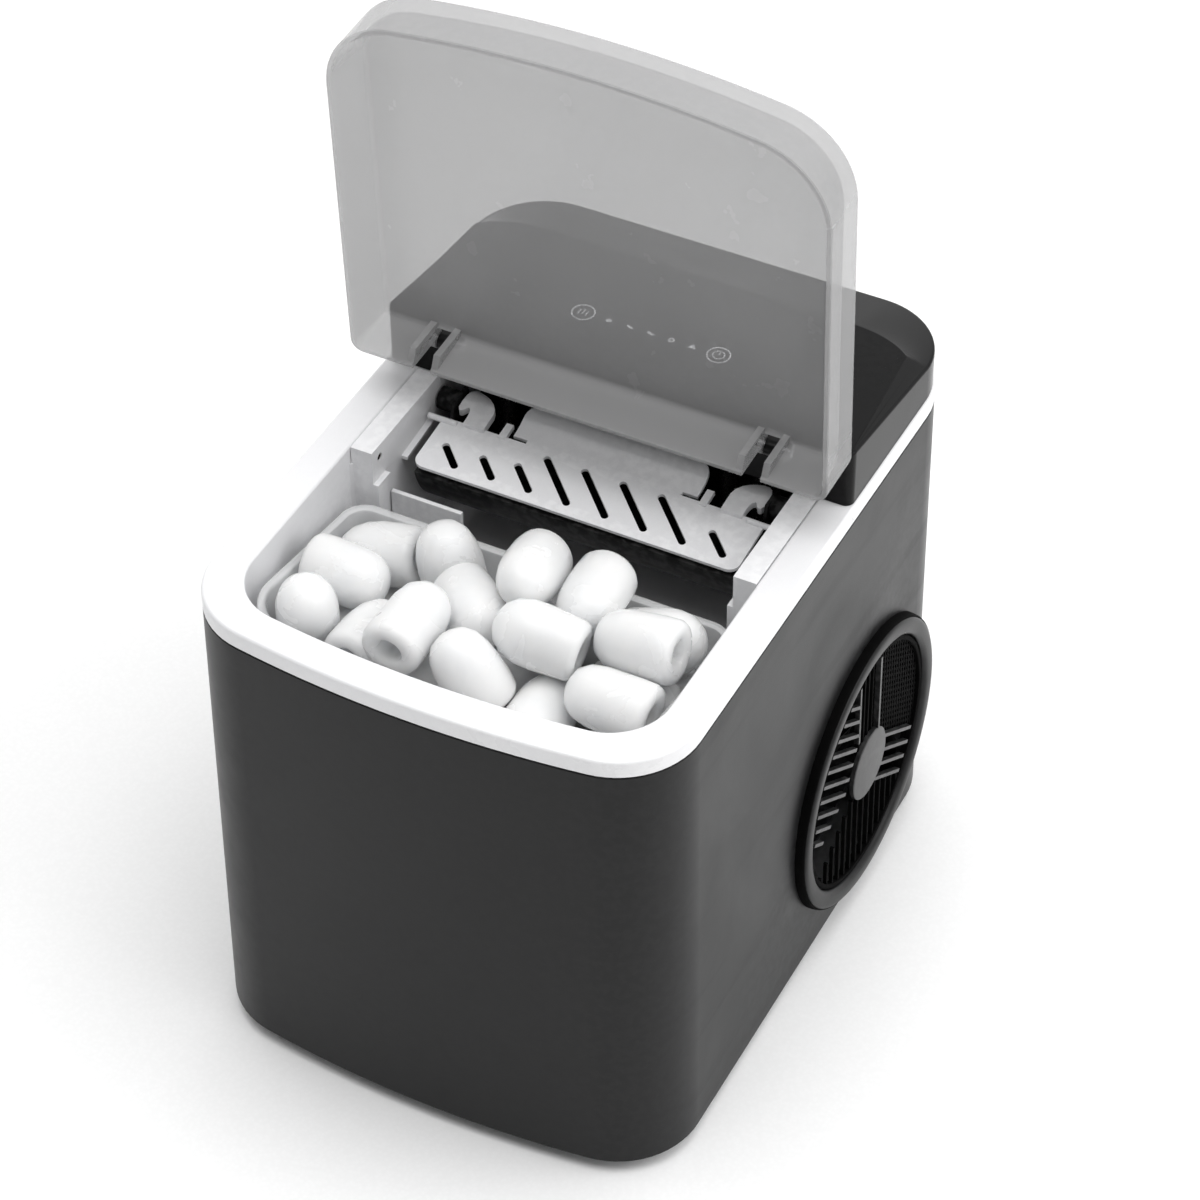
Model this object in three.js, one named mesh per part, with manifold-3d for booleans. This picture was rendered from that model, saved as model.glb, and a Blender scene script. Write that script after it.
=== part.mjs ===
// Countertop bullet-ice maker, lid open, basket in place.
// Millimetres, +Z up, +X to the right seen from the front, +Y to the back.
// The origin is on the floor, under the centre of the plan outline.

import * as THREE from 'three';
import { mergeVertices } from 'three/addons/utils/BufferGeometryUtils.js';
import Module from 'manifold-3d';

const wasm = await Module();
wasm.setup();

// ---------------------------------------------------------------- driving dimensions

const GAP = 0.3;                // between pieces that touch or are cut by each other

const body = {
  halfWidth: 112,
  front: -151.75,               // middle of the bowed front, at the top edge
  back: 151.35,
  bow: 11.4,                    // how far the front bulges ahead of its corners
  corner: 37,
  draft: 2.2,                   // the base is this much larger all round
  bottom: 7,
  top: 240.2,
  wall: 2.2,
};

const rim = {
  bottom: body.top + GAP,
  top: 249.2,
  skirtBottom: 214,
  skirt: 2,
  windowBack: 108,              // the deck is open to here, under the rear cover
};

const basin = {                 // the opening that the ice is reached through
  halfWidth: 96,
  front: -135.5,
  bow: 8.5,
  corner: 27,
};

const chamber = {               // the narrower space behind it, for tray and shovel
  cheek: 85.3,                  // half width between the cheeks' faces
  wallInside: 88,
  front: -24.5,
  back: 80,
  floor: 170.3,
  coverFront: 35.5,             // the rear cover starts here
};

const tank = {
  wall: 2.3,
  floor: 42,
  back: -22,
};

const hinge = {
  y: 30.5,
  z: 273.5,
  openAngle: THREE.MathUtils.degToRad(87.3),
  earRadius: 4,
  pinRadius: 1.5,
  knuckleX: 77.5,               // middle of each hinge
  knuckleWidth: 7,
  earWidth: 3,
};

const lid = {
  reach: 186,                   // from the hinge axis to the front lip
  halfWidth: 112,
  wall: 2.4,
  top: 2.5,                     // above the hinge axis when closed
  depth: 26,
  rear: 2,                      // the rear wall starts this far ahead of the axis
};

const cover = {
  halfWidth: 110.8,
  back: 149.8,
  corner: 35.5,
  frontCorner: 4,
  bottom: rim.top + GAP,
  top: 278,
  slopeStart: 112,
  slopeEnd: 267.5,
  wall: 2.5,
};

const basket = {
  halfWidth: 92,
  front: -131.2,
  back: -30.5,
  corner: 22,
  floor: 120,
  rimZ: 237,
  backRimZ: 227,
  wall: 2,
  taper: 5,
};

const shovel = {
  halfWidth: 77.4,
  front: -5.2,
  back: 43,
  frontZ: 232.6,
  backZ: 238.7,
  thickness: 1.6,
  bladeDepth: 30,
  flangeHalf: 44.3,
  flangeRise: 5.4,
  hookThickness: 3.6,
  slotWidth: 3.4,
  slotAngle: 45,
  slots: [                      // middle x, middle y behind the front edge, length
    [-64, 10.5, 16], [-46, 10.7, 15.5], [-29, 11.7, 18.5], [-15, 16, 30.6],
    [3.3, 16, 30.6], [21.6, 16, 30.6], [39.9, 16, 30.6], [63.6, 11.3, 16.5]],
};

const tray = {
  axisY: 35,
  axisZ: 237,
  inside: 40,
  wall: 1.5,
  halfWidth: 76,
  rimZ: 229,
};

const evaporator = {
  y: 54,
  z: 245,
  tubeRadius: 3.5,
  fingerCount: 9,
  fingerPitch: 15.5,
  fingerRadius: 4.5,
  fingerBottom: 208,
};

const vent = {                  // the round fan outlet, raised from the right side
  y: 56.5,
  z: 82.5,
  radius: 60.2,
  hub: 17.5,
  bezelOuter: 70.5,
  bezelHeight: 5.4,
  recess: 0.9,                  // of the grille's face behind the bezel's edge
  thickness: 2.5,
  slotPitch: 7.6,
  slotWidth: 4.6,
};

const fan = {
  x: 87,
  radius: 52,
  hub: 17,
  blades: 7,
};

const compressor = { x: -52, y: 78, radius: 46, bottom: 22, top: 127 };
const pump = { x: -60, y: 5, radius: 16, bottom: 14, top: 60 };
const drain = { x: -50, z: 38, neck: 8 };
const gland = { x: 48, z: 38, neck: 6.7 };
const panel = { halfWidth: 74, bottom: 17, top: 231, front: 146.6, thickness: 2.2 };

const ROUND = 28;               // sides of the larger round pieces
const SMALL = 8;                // sides of the smaller ones

// ---------------------------------------------------------------- finishes

const finishes = {
  shell: { color: 0x363636, roughness: 0.42, metalness: 0.35 },
  white: { color: 0xf0f0f2, roughness: 0.35, metalness: 0 },
  gloss: { color: 0x161616, roughness: 0.16, metalness: 0 },
  black: { color: 0x141414, roughness: 0.55, metalness: 0 },
  smoke: { color: 0x8a8a8c, roughness: 0.12, metalness: 0 },
  clear: { color: 0xdfe3e6, roughness: 0.2, metalness: 0 },
  rubber: { color: 0x1b1b1b, roughness: 0.85, metalness: 0 },
  steel: { color: 0xb9bcc0, roughness: 0.3, metalness: 1 },
  zinc: { color: 0x9a9da1, roughness: 0.45, metalness: 0.9 },
  copper: { color: 0xb87346, roughness: 0.35, metalness: 1 },
  aluminium: { color: 0xc3c6c9, roughness: 0.4, metalness: 1 },
  enamel: { color: 0x121212, roughness: 0.35, metalness: 0.2 },
  board: { color: 0x1d5a36, roughness: 0.5, metalness: 0 },
  hose: { color: 0xd8dcdc, roughness: 0.3, metalness: 0 },
  foam: { color: 0x1a1a1a, roughness: 0.95, metalness: 0 },
  lens: { color: 0x2a1414, roughness: 0.15, metalness: 0 },
};

// ---------------------------------------------------------------- making solids

function solid(geometry) {
  const bare = geometry.clone();
  bare.deleteAttribute('normal');
  bare.deleteAttribute('uv');
  const merged = mergeVertices(bare, 1e-4);
  return new wasm.Manifold(new wasm.Mesh({
    numProp: 3,
    vertProperties: new Float32Array(merged.attributes.position.array),
    triVerts: new Uint32Array(merged.index.array),
  }));
}

function geometryOf(manifold) {
  const mesh = manifold.getMesh();
  const geometry = new THREE.BufferGeometry();
  const position = new THREE.BufferAttribute(new Float32Array(mesh.vertProperties), 3);
  geometry.setAttribute('position', position);
  geometry.setIndex(new THREE.BufferAttribute(new Uint32Array(mesh.triVerts), 1));
  geometry.computeVertexNormals();
  return geometry;
}

function joined(...solids) {
  return solids.reduce((whole, next) => whole.add(next));
}

function without(first, ...cutters) {
  return cutters.reduce((whole, next) => whole.subtract(next), first);
}

function box(x0, x1, y0, y1, z0, z1) {
  const geometry = new THREE.BoxGeometry(x1 - x0, y1 - y0, z1 - z0);
  geometry.translate((x0 + x1) / 2, (y0 + y1) / 2, (z0 + z1) / 2);
  return solid(geometry);
}

const turnTo = {
  x: (geometry) => geometry.rotateZ(-Math.PI / 2),
  y: (geometry) => geometry,
  z: (geometry) => geometry.rotateX(Math.PI / 2),
};

// A rod along one axis: from is its start on that axis, (a, b) the other two places.
function rod(axis, radius, from, to, a, b, sides = ROUND) {
  const geometry = turnTo[axis](new THREE.CylinderGeometry(radius, radius, to - from, sides));
  const middle = (from + to) / 2;
  const place = { x: [middle, a, b], y: [a, middle, b], z: [a, b, middle] }[axis];
  return solid(geometry.translate(...place));
}

// A solid of revolution about +Z: profile is a closed list of [radius, height].
function turned(profile, sides = ROUND) {
  const points = profile.map(([radius, height]) => new THREE.Vector2(radius, height));
  return solid(new THREE.LatheGeometry(points, sides).rotateX(Math.PI / 2));
}

// A flat outline in the YZ plane, given thickness along X.
function prismAlongX(points, x0, x1) {
  const shape = new THREE.Shape(points.map(([y, z]) => new THREE.Vector2(y, z)));
  const geometry = new THREE.ExtrudeGeometry(shape, { depth: x1 - x0, bevelEnabled: false });
  const turn = new THREE.Matrix4().makeBasis(
    new THREE.Vector3(0, 1, 0), new THREE.Vector3(0, 0, 1), new THREE.Vector3(1, 0, 0));
  return solid(geometry.applyMatrix4(turn).translate(x0, 0, 0));
}

// A tube along a smooth curve through the given points.
function tubeAlong(points, radius, sides = 8, steps = 36) {
  const path = new THREE.CatmullRomCurve3(points.map((p) => new THREE.Vector3(...p)));
  const section = new THREE.Shape();
  for (let i = 0; i < sides; i += 1) {
    const turn = (i / sides) * Math.PI * 2;
    const x = radius * Math.cos(turn);
    const y = radius * Math.sin(turn);
    if (i === 0) section.moveTo(x, y);
    else section.lineTo(x, y);
  }
  return solid(new THREE.ExtrudeGeometry(section, { extrudePath: path, steps }));
}

// The plan outline of the machine: a rectangle with round corners and a bowed front.
// grow moves every side outwards.
function outline({ halfWidth, front, back, bow, corner, backCorner = corner }, grow = 0) {
  const w = halfWidth + grow;
  const r = corner + grow;
  const rb = Math.max(backCorner + grow, 0.5);
  const frontY = (x) => front - grow + bow * (x / w) ** 2;
  const lean = Math.atan((2 * bow * (w - r)) / w ** 2);
  const endX = w - r + r * Math.sin(lean);
  const centreY = frontY(endX) + r * Math.cos(lean);
  const arcSteps = 6;
  const bowSteps = 8;
  const right = [];
  for (let i = 0; i <= bowSteps / 2; i += 1) {
    const x = (endX * i) / (bowSteps / 2);
    right.push([x, frontY(x)]);
  }
  for (let i = 1; i <= arcSteps; i += 1) {
    const turn = lean + (Math.PI / 2 - lean) * (i / arcSteps);
    right.push([w - r + r * Math.sin(turn), centreY - r * Math.cos(turn)]);
  }
  for (let i = 0; i <= arcSteps; i += 1) {
    const turn = (Math.PI / 2) * (i / arcSteps);
    right.push([w - rb + rb * Math.cos(turn), back + grow - rb + rb * Math.sin(turn)]);
  }
  const left = right.slice(1).reverse().map(([x, y]) => [-x, y]);
  return [...right, ...left].map(([x, y]) => new THREE.Vector2(x, y));
}

// A solid between two outlines of the same number of points at two heights.
function loft(low, lowZ, high, highZ) {
  const count = low.length;
  const vertices = [];
  for (const point of low) vertices.push(point.x, point.y, lowZ);
  for (const point of high) vertices.push(point.x, point.y, highZ);
  const faces = [];
  for (let i = 0; i < count; i += 1) {
    const next = (i + 1) % count;
    faces.push(i, next, count + next, i, count + next, count + i);
  }
  for (const [a, b, c] of THREE.ShapeUtils.triangulateShape(low, [])) {
    faces.push(c, b, a);
    faces.push(count + a, count + b, count + c);
  }
  const geometry = new THREE.BufferGeometry();
  geometry.setAttribute('position', new THREE.Float32BufferAttribute(vertices, 3));
  geometry.setIndex(faces);
  return solid(geometry);
}

function prism(points, z0, z1) {
  return loft(points, z0, points, z1);
}

// ---------------------------------------------------------------- the scene graph

const machine = new THREE.Group();

function place(name, shape, finish, { at = [0, 0, 0], parent = machine } = {}) {
  const mesh = new THREE.Mesh(geometryOf(shape), new THREE.MeshStandardMaterial(finishes[finish]));
  mesh.name = name;
  mesh.position.set(...at);
  parent.add(mesh);
  return mesh;
}

// The shell leans in by its draft on the way up.
const draftAngle = Math.atan(body.draft / (body.top - body.bottom));

function grownAt(z) {
  return (body.draft * (body.top - z)) / (body.top - body.bottom);
}

// ---------------------------------------------------------------- outer shell and back panel

function bodySolid(inset) {
  const low = outline(body, body.draft - inset);
  return loft(low, body.bottom, outline(body, -inset), body.top);
}

const backOpening = { halfWidth: 68, bottom: 24, top: 224 };
const louvre = { middle: 32, half: 20, height: 3.4, pitch: 14, rows: 9, bottom: 70 };
const screwHeights = [34, 124, 214];
const screwX = 71;
const screwClearance = 1.7;

function backFace(z) {
  return body.back + grownAt(z);
}

function makeOuterShell() {
  const inner = loft(
    outline(body, body.draft - body.wall), body.bottom - 1,
    outline(body, -body.wall), body.top + 1);
  const opening = box(-backOpening.halfWidth, backOpening.halfWidth, 140, 160,
    backOpening.bottom, backOpening.top);
  const ventHole = rod('x', vent.radius + GAP, 100, 120, vent.y, vent.z, 36);
  const screwHoles = [-screwX, screwX].flatMap((x) => screwHeights.map(
    (z) => rod('y', screwClearance, 140, 160, x, z, SMALL)));
  return without(bodySolid(0), inner, opening, ventHole, ...screwHoles);
}

function makeBackPanel() {
  const back = panel.front + panel.thickness;
  const sheet = box(-panel.halfWidth, panel.halfWidth, panel.front, back,
    panel.bottom, panel.top);
  const louvres = [];
  for (const x of [-louvre.middle, louvre.middle]) {
    for (let row = 0; row < louvre.rows; row += 1) {
      const z = louvre.bottom + row * louvre.pitch;
      louvres.push(box(x - louvre.half, x + louvre.half, panel.front - 1, back + 1,
        z, z + louvre.height));
    }
  }
  const screwHoles = [-screwX, screwX].flatMap((x) => screwHeights.map(
    (z) => rod('y', screwClearance, panel.front - 1, back + 1, x, z, SMALL)));
  const drainHole = rod('y', drain.neck + GAP, panel.front - 1, back + 1, drain.x, drain.z, 16);
  const glandHole = rod('y', gland.neck + GAP, panel.front - 1, back + 1, gland.x, gland.z, 16);
  return without(sheet, ...louvres, ...screwHoles, drainHole, glandHole);
}

function makePanelScrew() {
  const shank = rod('y', 1.3, -8, 0.2, 0, 0, SMALL);
  const head = rod('y', 3.2, 0, 1.8, 0, 0, SMALL);
  const slot = box(-0.4, 0.4, 1, 3, -4, 4);
  return without(joined(shank, head), slot);
}

place('outer_shell', makeOuterShell(), 'shell');
place('back_panel', makeBackPanel(), 'shell');
for (const [side, x] of [['left', -screwX], ['right', screwX]]) {
  screwHeights.forEach((z, row) => {
    place(`back_screw_${side}_${row + 1}`, makePanelScrew(), 'steel',
      { at: [x, backFace(z) + GAP, z] });
  });
}

// ---------------------------------------------------------------- base plate and feet

const baseTop = 10.5;

function makeBasePlate() {
  const plate = prism(outline(body, body.draft - body.wall - 0.5), 8, baseTop);
  const slots = [];
  for (let i = -4; i <= 4; i += 1) {
    slots.push(box(i * 14 - 3, i * 14 + 3, -80, -30, 7, baseTop + 1));
  }
  return without(plate, ...slots);
}

function makeFoot() {
  const foot = turned([[0, 0], [8, 0], [9.5, 1.2], [10.5, 7.7], [0, 7.7]], 16);
  const pocket = rod('z', 3.5, -1, 3, 0, 0, SMALL);
  return without(foot, pocket);
}

place('base_plate', makeBasePlate(), 'zinc');
for (const [name, x, y] of [
  ['foot_front_left', -86, -106], ['foot_front_right', 86, -106],
  ['foot_rear_left', -86, 122], ['foot_rear_right', 86, 122]]) {
  place(name, makeFoot(), 'rubber', { at: [x, y, 0] });
}

// ---------------------------------------------------------------- white rim frame

function basinOutline(grow, back) {
  return outline({ ...basin, back, backCorner: 1 }, grow);
}

function makeRimFrame() {
  const ring = prism(outline(body, 0), rim.bottom, rim.top);
  const mouth = prism(basinOutline(0, chamber.coverFront), rim.bottom - 1, rim.top + 1);
  const window = box(-chamber.wallInside, chamber.wallInside, 20, rim.windowBack,
    rim.bottom - 1, rim.top + 1);
  const skirtBack = chamber.front - GAP;
  const skirtOuter = prism(basinOutline(rim.skirt, 0), rim.skirtBottom, rim.bottom + 1);
  const skirtInner = prism(basinOutline(0, 10), rim.skirtBottom - 1, rim.bottom + 2);
  const behind = box(-120, 120, skirtBack, 60, rim.skirtBottom - 1, rim.bottom + 2);
  const skirt = without(skirtOuter, skirtInner, behind);
  return joined(without(ring, mouth, window), skirt);
}

place('rim_frame', makeRimFrame(), 'white');

// ---------------------------------------------------------------- inner tank

const trayShaftHole = 3.6;

function makeInnerTank() {
  const { wall, floor, back } = tank;
  const inside = rim.skirt + GAP;
  const frontOuter = prism(basinOutline(inside + wall, back - inside), floor - wall, body.top);
  const frontInner = prism(basinOutline(inside, back - inside), floor, body.top + 1);
  const w = chamber.wallInside;
  const rearOuter = box(-w - wall, w + wall, back, chamber.back + wall,
    chamber.floor - wall, body.top);
  const rearInner = box(-w, w, back - wall - 1, chamber.back, chamber.floor, body.top + 1);
  const ledges = [-1, 1].map((side) => box(
    Math.min(side * 84.5, side * 99), Math.max(side * 84.5, side * 99), -105, -42, 113, 119.5));
  const shaftHoles = [-1, 1].map((side) => rod('x', trayShaftHole,
    Math.min(side * 86, side * 92), Math.max(side * 86, side * 92),
    tray.axisY, tray.axisZ, 16));
  const outlet = rod('y', 3, back - 2, back + wall + 2, pump.x, 50, SMALL);
  const tub = without(joined(frontOuter, rearOuter), frontInner, rearInner);
  return without(joined(tub, ...ledges), ...shaftHoles, outlet);
}

place('inner_tank', makeInnerTank(), 'white');

// ---------------------------------------------------------------- chamber cheeks and guard

const sensor = { y: -17.9, z: 242.6, radius: 1.8 };
const cheekPlate = 2.4;
const cheekBottom = 200;

// Built for the right side; the left one is its mirror image.
function makeCheek() {
  const x = chamber.cheek;
  const outer = basin.halfWidth - GAP;
  const frontPlate = box(x, outer, chamber.front, chamber.front + 2.2, cheekBottom, rim.top);
  const cap = box(x, outer, chamber.front, chamber.coverFront - GAP, rim.top - 2.4, rim.top);
  const face = box(x, x + cheekPlate, chamber.front, 62, cheekBottom, rim.top - 2.4);
  const upper = box(x, x + cheekPlate, chamber.front, chamber.coverFront - GAP,
    rim.top - 3, rim.top);
  const rail = prismAlongX(
    [[0, 228.1], [27, 231.5], [27, 233.2], [0, 229.8]], x - 2.8, x + 0.5);
  const gusset = prismAlongX([[-24.5, 214], [-14, 232], [-24.5, 232]], x - 2.5, x + 0.5);
  const sensorHole = rod('x', sensor.radius + 0.2, x - 5, x + 5, sensor.y, sensor.z, SMALL);
  const shaftHole = rod('x', trayShaftHole, x - 5, x + 5, tray.axisY, tray.axisZ, 16);
  return without(joined(frontPlate, cap, face, upper, rail, gusset), sensorHole, shaftHole);
}

function mirrored(shape) {
  return shape.mirror([1, 0, 0]);
}

function makeSensor() {
  const x = chamber.cheek;
  return joined(
    rod('x', sensor.radius, x + 0.4, x + 4, sensor.y, sensor.z, SMALL),
    box(x + 2.7, x + 7, sensor.y - 3, sensor.y + 3, body.top + GAP, sensor.z + 3.5));
}

function makeSplashGuard() {
  const plate = box(-84.6, -50, -11.7, -9.5, chamber.floor + GAP, 219);
  const fold = box(-84.6, -50, -11.7, -7.6, chamber.floor + GAP, chamber.floor + 3);
  return joined(plate, fold);
}

place('right_cheek', makeCheek(), 'white');
place('left_cheek', mirrored(makeCheek()), 'white');
place('ice_sensor_right', makeSensor(), 'lens');
place('ice_sensor_left', mirrored(makeSensor()), 'lens');
place('splash_guard', makeSplashGuard(), 'white');

// ---------------------------------------------------------------- rear cover and its boards

function coverProfile(inset) {
  const top = cover.top - inset;
  const slope = (cover.top - cover.slopeEnd) / (cover.back - cover.slopeStart);
  const far = cover.back + 20;
  return [
    [0, cover.bottom - 5], [far, cover.bottom - 5],
    [far, top - slope * (far - cover.slopeStart)], [cover.slopeStart, top], [0, top]];
}

// The cover's plan is the body outline turned end for end, with its flat side forward.
function coverOutline(grow) {
  const plan = { halfWidth: cover.halfWidth, front: -cover.back, back: -chamber.coverFront,
    bow: 0, corner: cover.corner, backCorner: cover.frontCorner };
  return outline(plan, grow).map((point) => new THREE.Vector2(-point.x, -point.y));
}

function makeRearCover() {
  const outer = prism(coverOutline(0), cover.bottom, cover.top + 5)
    .intersect(prismAlongX(coverProfile(0), -120, 120));
  const inner = prism(coverOutline(-cover.wall), cover.bottom - 1, cover.top + 5)
    .intersect(prismAlongX(coverProfile(cover.wall), -120, 120));
  return without(outer, inner);
}

const touchKey = { x: 32.4, y: 69.8 };

function makeControlBoard() {
  const board = box(-52, 52, 56, 84, 267, 268.6);
  const keys = [-1, 1].map((side) => rod('z', 5.5, 268, 275.2, side * touchKey.x,
    touchKey.y, SMALL));
  const lamps = [-2, -1, 0, 1, 2].map((step) => box(
    step * 10 - 1.5, step * 10 + 1.5, touchKey.y - 1.5, touchKey.y + 1.5, 268, 275));
  return joined(board, ...keys, ...lamps);
}

function makePowerBoard() {
  const board = box(16, 96, 136, 137.8, 150, 216);
  const transformer = box(24, 50, 118, 136.5, 156, 180);
  const relay = box(58, 78, 122, 136.5, 158, 174);
  const capacitor = rod('y', 7, 116, 136.5, 36, 200, SMALL);
  const connector = box(60, 90, 128, 136.5, 196, 206);
  return joined(board, transformer, relay, capacitor, connector);
}

place('rear_cover', makeRearCover(), 'gloss');
place('control_board', makeControlBoard(), 'board');
place('power_board', makePowerBoard(), 'board');

// ---------------------------------------------------------------- hinges

function makeKnuckle() {
  const half = hinge.knuckleWidth / 2;
  const barrel = rod('x', hinge.earRadius, -half, half, 0, 0, 20);
  const foot = box(-half, half, 0, chamber.coverFront - hinge.y - GAP, -4, 4);
  const bore = rod('x', hinge.pinRadius + GAP, -20, 20, 0, 0, SMALL);
  return without(joined(barrel, foot), bore);
}

function makeHingePin() {
  const reach = hinge.knuckleWidth / 2 + 1 + hinge.earWidth;
  const shaft = rod('x', hinge.pinRadius, -reach, reach + 0.6, 0, 0, SMALL);
  const head = rod('x', hinge.pinRadius + 0.4, reach + GAP, reach + 1.3, 0, 0, SMALL);
  return joined(shaft, head);
}

for (const [side, x] of [['left', -hinge.knuckleX], ['right', hinge.knuckleX]]) {
  place(`hinge_knuckle_${side}`, makeKnuckle(), 'gloss', { at: [x, hinge.y, hinge.z] });
  place(`hinge_pin_${side}`, makeHingePin(), 'steel', { at: [x, hinge.y, hinge.z] });
}

// ---------------------------------------------------------------- lid

// Modelled closed, with the hinge axis as its origin, then swung open.
function makeLid() {
  const plan = { halfWidth: lid.halfWidth, front: -lid.reach, back: -lid.rear,
    bow: body.bow, corner: body.corner, backCorner: 6 };
  const low = lid.top - lid.depth;
  const edge = 2.5;
  const skirt = prism(outline(plan, 0), low, lid.top - edge);
  const crown = loft(outline(plan, 0), lid.top - edge, outline(plan, -edge), lid.top);
  const inside = loft(outline(plan, -lid.wall), low - 1,
    outline(plan, -lid.wall - 3), lid.top - 3);
  const pan = without(joined(skirt, crown), inside);

  const parts = [];
  const notches = [];
  const bores = [];
  for (const side of [-1, 1]) {
    const middle = side * hinge.knuckleX;
    const half = hinge.knuckleWidth / 2 + 0.8;
    for (const edgeSide of [-1, 1]) {
      const near = middle + edgeSide * half;
      const far = near + edgeSide * hinge.earWidth;
      const x0 = Math.min(near, far);
      const x1 = Math.max(near, far);
      parts.push(rod('x', hinge.earRadius, x0, x1, 0, 0, 20));
      parts.push(box(x0, x1, -lid.rear - 2, 0, -hinge.earRadius, lid.top - 0.2));
      parts.push(prismAlongX([[-4, low + 1], [-10, low + 4], [-10, 0], [-4, 0]], x0, x1));
    }
    notches.push(box(middle - half, middle + half, -7.5, 3, low - 1, lid.top + 1));
    bores.push(rod('x', hinge.pinRadius + GAP, middle - 20, middle + 20, 0, 0, SMALL));
  }
  return without(joined(pan, ...parts), ...notches, ...bores);
}

const lidGroup = new THREE.Group();
lidGroup.position.set(0, hinge.y, hinge.z);
lidGroup.rotation.x = -hinge.openAngle;
machine.add(lidGroup);
place('lid', makeLid(), 'smoke', { parent: lidGroup });

// ---------------------------------------------------------------- ice basket

function basketOutline(grow) {
  const plan = { halfWidth: basket.halfWidth, front: basket.front, back: basket.back,
    bow: basin.bow, corner: basket.corner, backCorner: 12 };
  return outline(plan, grow);
}

function makeBasket() {
  const { floor, rimZ, backRimZ, wall, taper } = basket;
  const outer = loft(basketOutline(-taper), floor, basketOutline(-1.6), rimZ);
  const lip = loft(basketOutline(-1.9), rimZ - 4, basketOutline(0), rimZ - 2.2);
  const lipTop = prism(basketOutline(0), rimZ - 2.2, rimZ);
  const inner = loft(basketOutline(-taper - wall), floor + wall,
    basketOutline(-1.6 - wall), rimZ + 1);
  const backCut = prismAlongX(
    [[-60, rimZ + 3], [-44, backRimZ], [0, backRimZ], [0, rimZ + 3]], -120, 120);
  const slots = [];
  for (let column = -3; column <= 3; column += 1) {
    const x = column * 22;
    slots.push(box(x - 2, x + 2, -110, -50, floor - 1, floor + wall + 1));
  }
  return without(joined(outer, lip, lipTop), inner, backCut, ...slots);
}

place('ice_basket', makeBasket(), 'clear');

// ---------------------------------------------------------------- ice shovel

const shovelSlope = Math.atan((shovel.backZ - shovel.frontZ) / (shovel.back - shovel.front));

// A rounded corner of a flat outline: centre, radius and the angle it starts at.
function cornerArc(shape, x, y, radius, start) {
  shape.absarc(x, y, radius, start, start + Math.PI / 2, false);
}

// The outline of the hooked arm on the right; across is the distance from the middle.
const hookOutline = [[57, 28], [67, 28], [67.2, 34], [68, 37], [69.4, 37.6], [70.4, 35.6],
  [72.4, 34.8], [73.5, 36.5], [73.4, 44.5], [71, 47.4], [65.5, 46.8], [60, 43.5], [57.2, 38]];

function flatShape(points, depth) {
  const shape = new THREE.Shape(points.map(([x, y]) => new THREE.Vector2(x, y)));
  return solid(new THREE.ExtrudeGeometry(shape, { depth, bevelEnabled: false }));
}

// Flat plate in its own frame: front edge at y = 0, then tilted by its group.
function makeShovel() {
  const { halfWidth, thickness, bladeDepth, flangeHalf, flangeRise } = shovel;
  const depth = Math.hypot(shovel.back - shovel.front, shovel.backZ - shovel.frontZ);
  const front = 5;
  const rear = 3;
  const blade = new THREE.Shape();
  blade.moveTo(-halfWidth + front, 0);
  cornerArc(blade, halfWidth - front, front, front, -Math.PI / 2);
  cornerArc(blade, halfWidth - rear, bladeDepth - rear, rear, 0);
  cornerArc(blade, -halfWidth + rear, bladeDepth - rear, rear, Math.PI / 2);
  cornerArc(blade, -halfWidth + front, front, front, Math.PI);
  const extrude = { depth: thickness, bevelEnabled: false, curveSegments: 4 };
  const plate = solid(new THREE.ExtrudeGeometry(blade, extrude));

  // The flange behind the blade curls up; its neck is narrower than the flange.
  const neck = box(-flangeHalf + 7, flangeHalf - 7, bladeDepth - 1, bladeDepth + 3, 0, thickness);
  const flange = prismAlongX([[bladeDepth + 2, 0], [bladeDepth + 9, 0.5],
    [bladeDepth + 14, flangeRise - 2.6], [depth, flangeRise], [depth - 1, flangeRise + 1.4],
    [bladeDepth + 13, flangeRise - 1], [bladeDepth + 8.6, 2], [bladeDepth + 2, thickness]],
  -flangeHalf, flangeHalf);

  const hook = flatShape(hookOutline, shovel.hookThickness);
  const tab = box(46.6, 50, bladeDepth - 2, 37, 0.1, 2.4);
  const stub = rod('x', 1.4, 70, 84, bladeDepth - 2, 1.8, SMALL);
  const sides = joined(hook, tab, stub);

  const slots = shovel.slots.map(([x, y, length]) => {
    const slot = new THREE.BoxGeometry(shovel.slotWidth, length, 8);
    slot.rotateZ(THREE.MathUtils.degToRad(shovel.slotAngle));
    return solid(slot.translate(x, y, 1));
  });
  return without(joined(plate, neck, flange, sides, mirrored(sides)), ...slots);
}

const shovelGroup = new THREE.Group();
shovelGroup.position.set(0, shovel.front, shovel.frontZ - shovel.thickness);
shovelGroup.rotation.x = shovelSlope;
machine.add(shovelGroup);
place('ice_shovel', makeShovel(), 'white', { parent: shovelGroup });

// ---------------------------------------------------------------- tilting water tray and its drive

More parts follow.
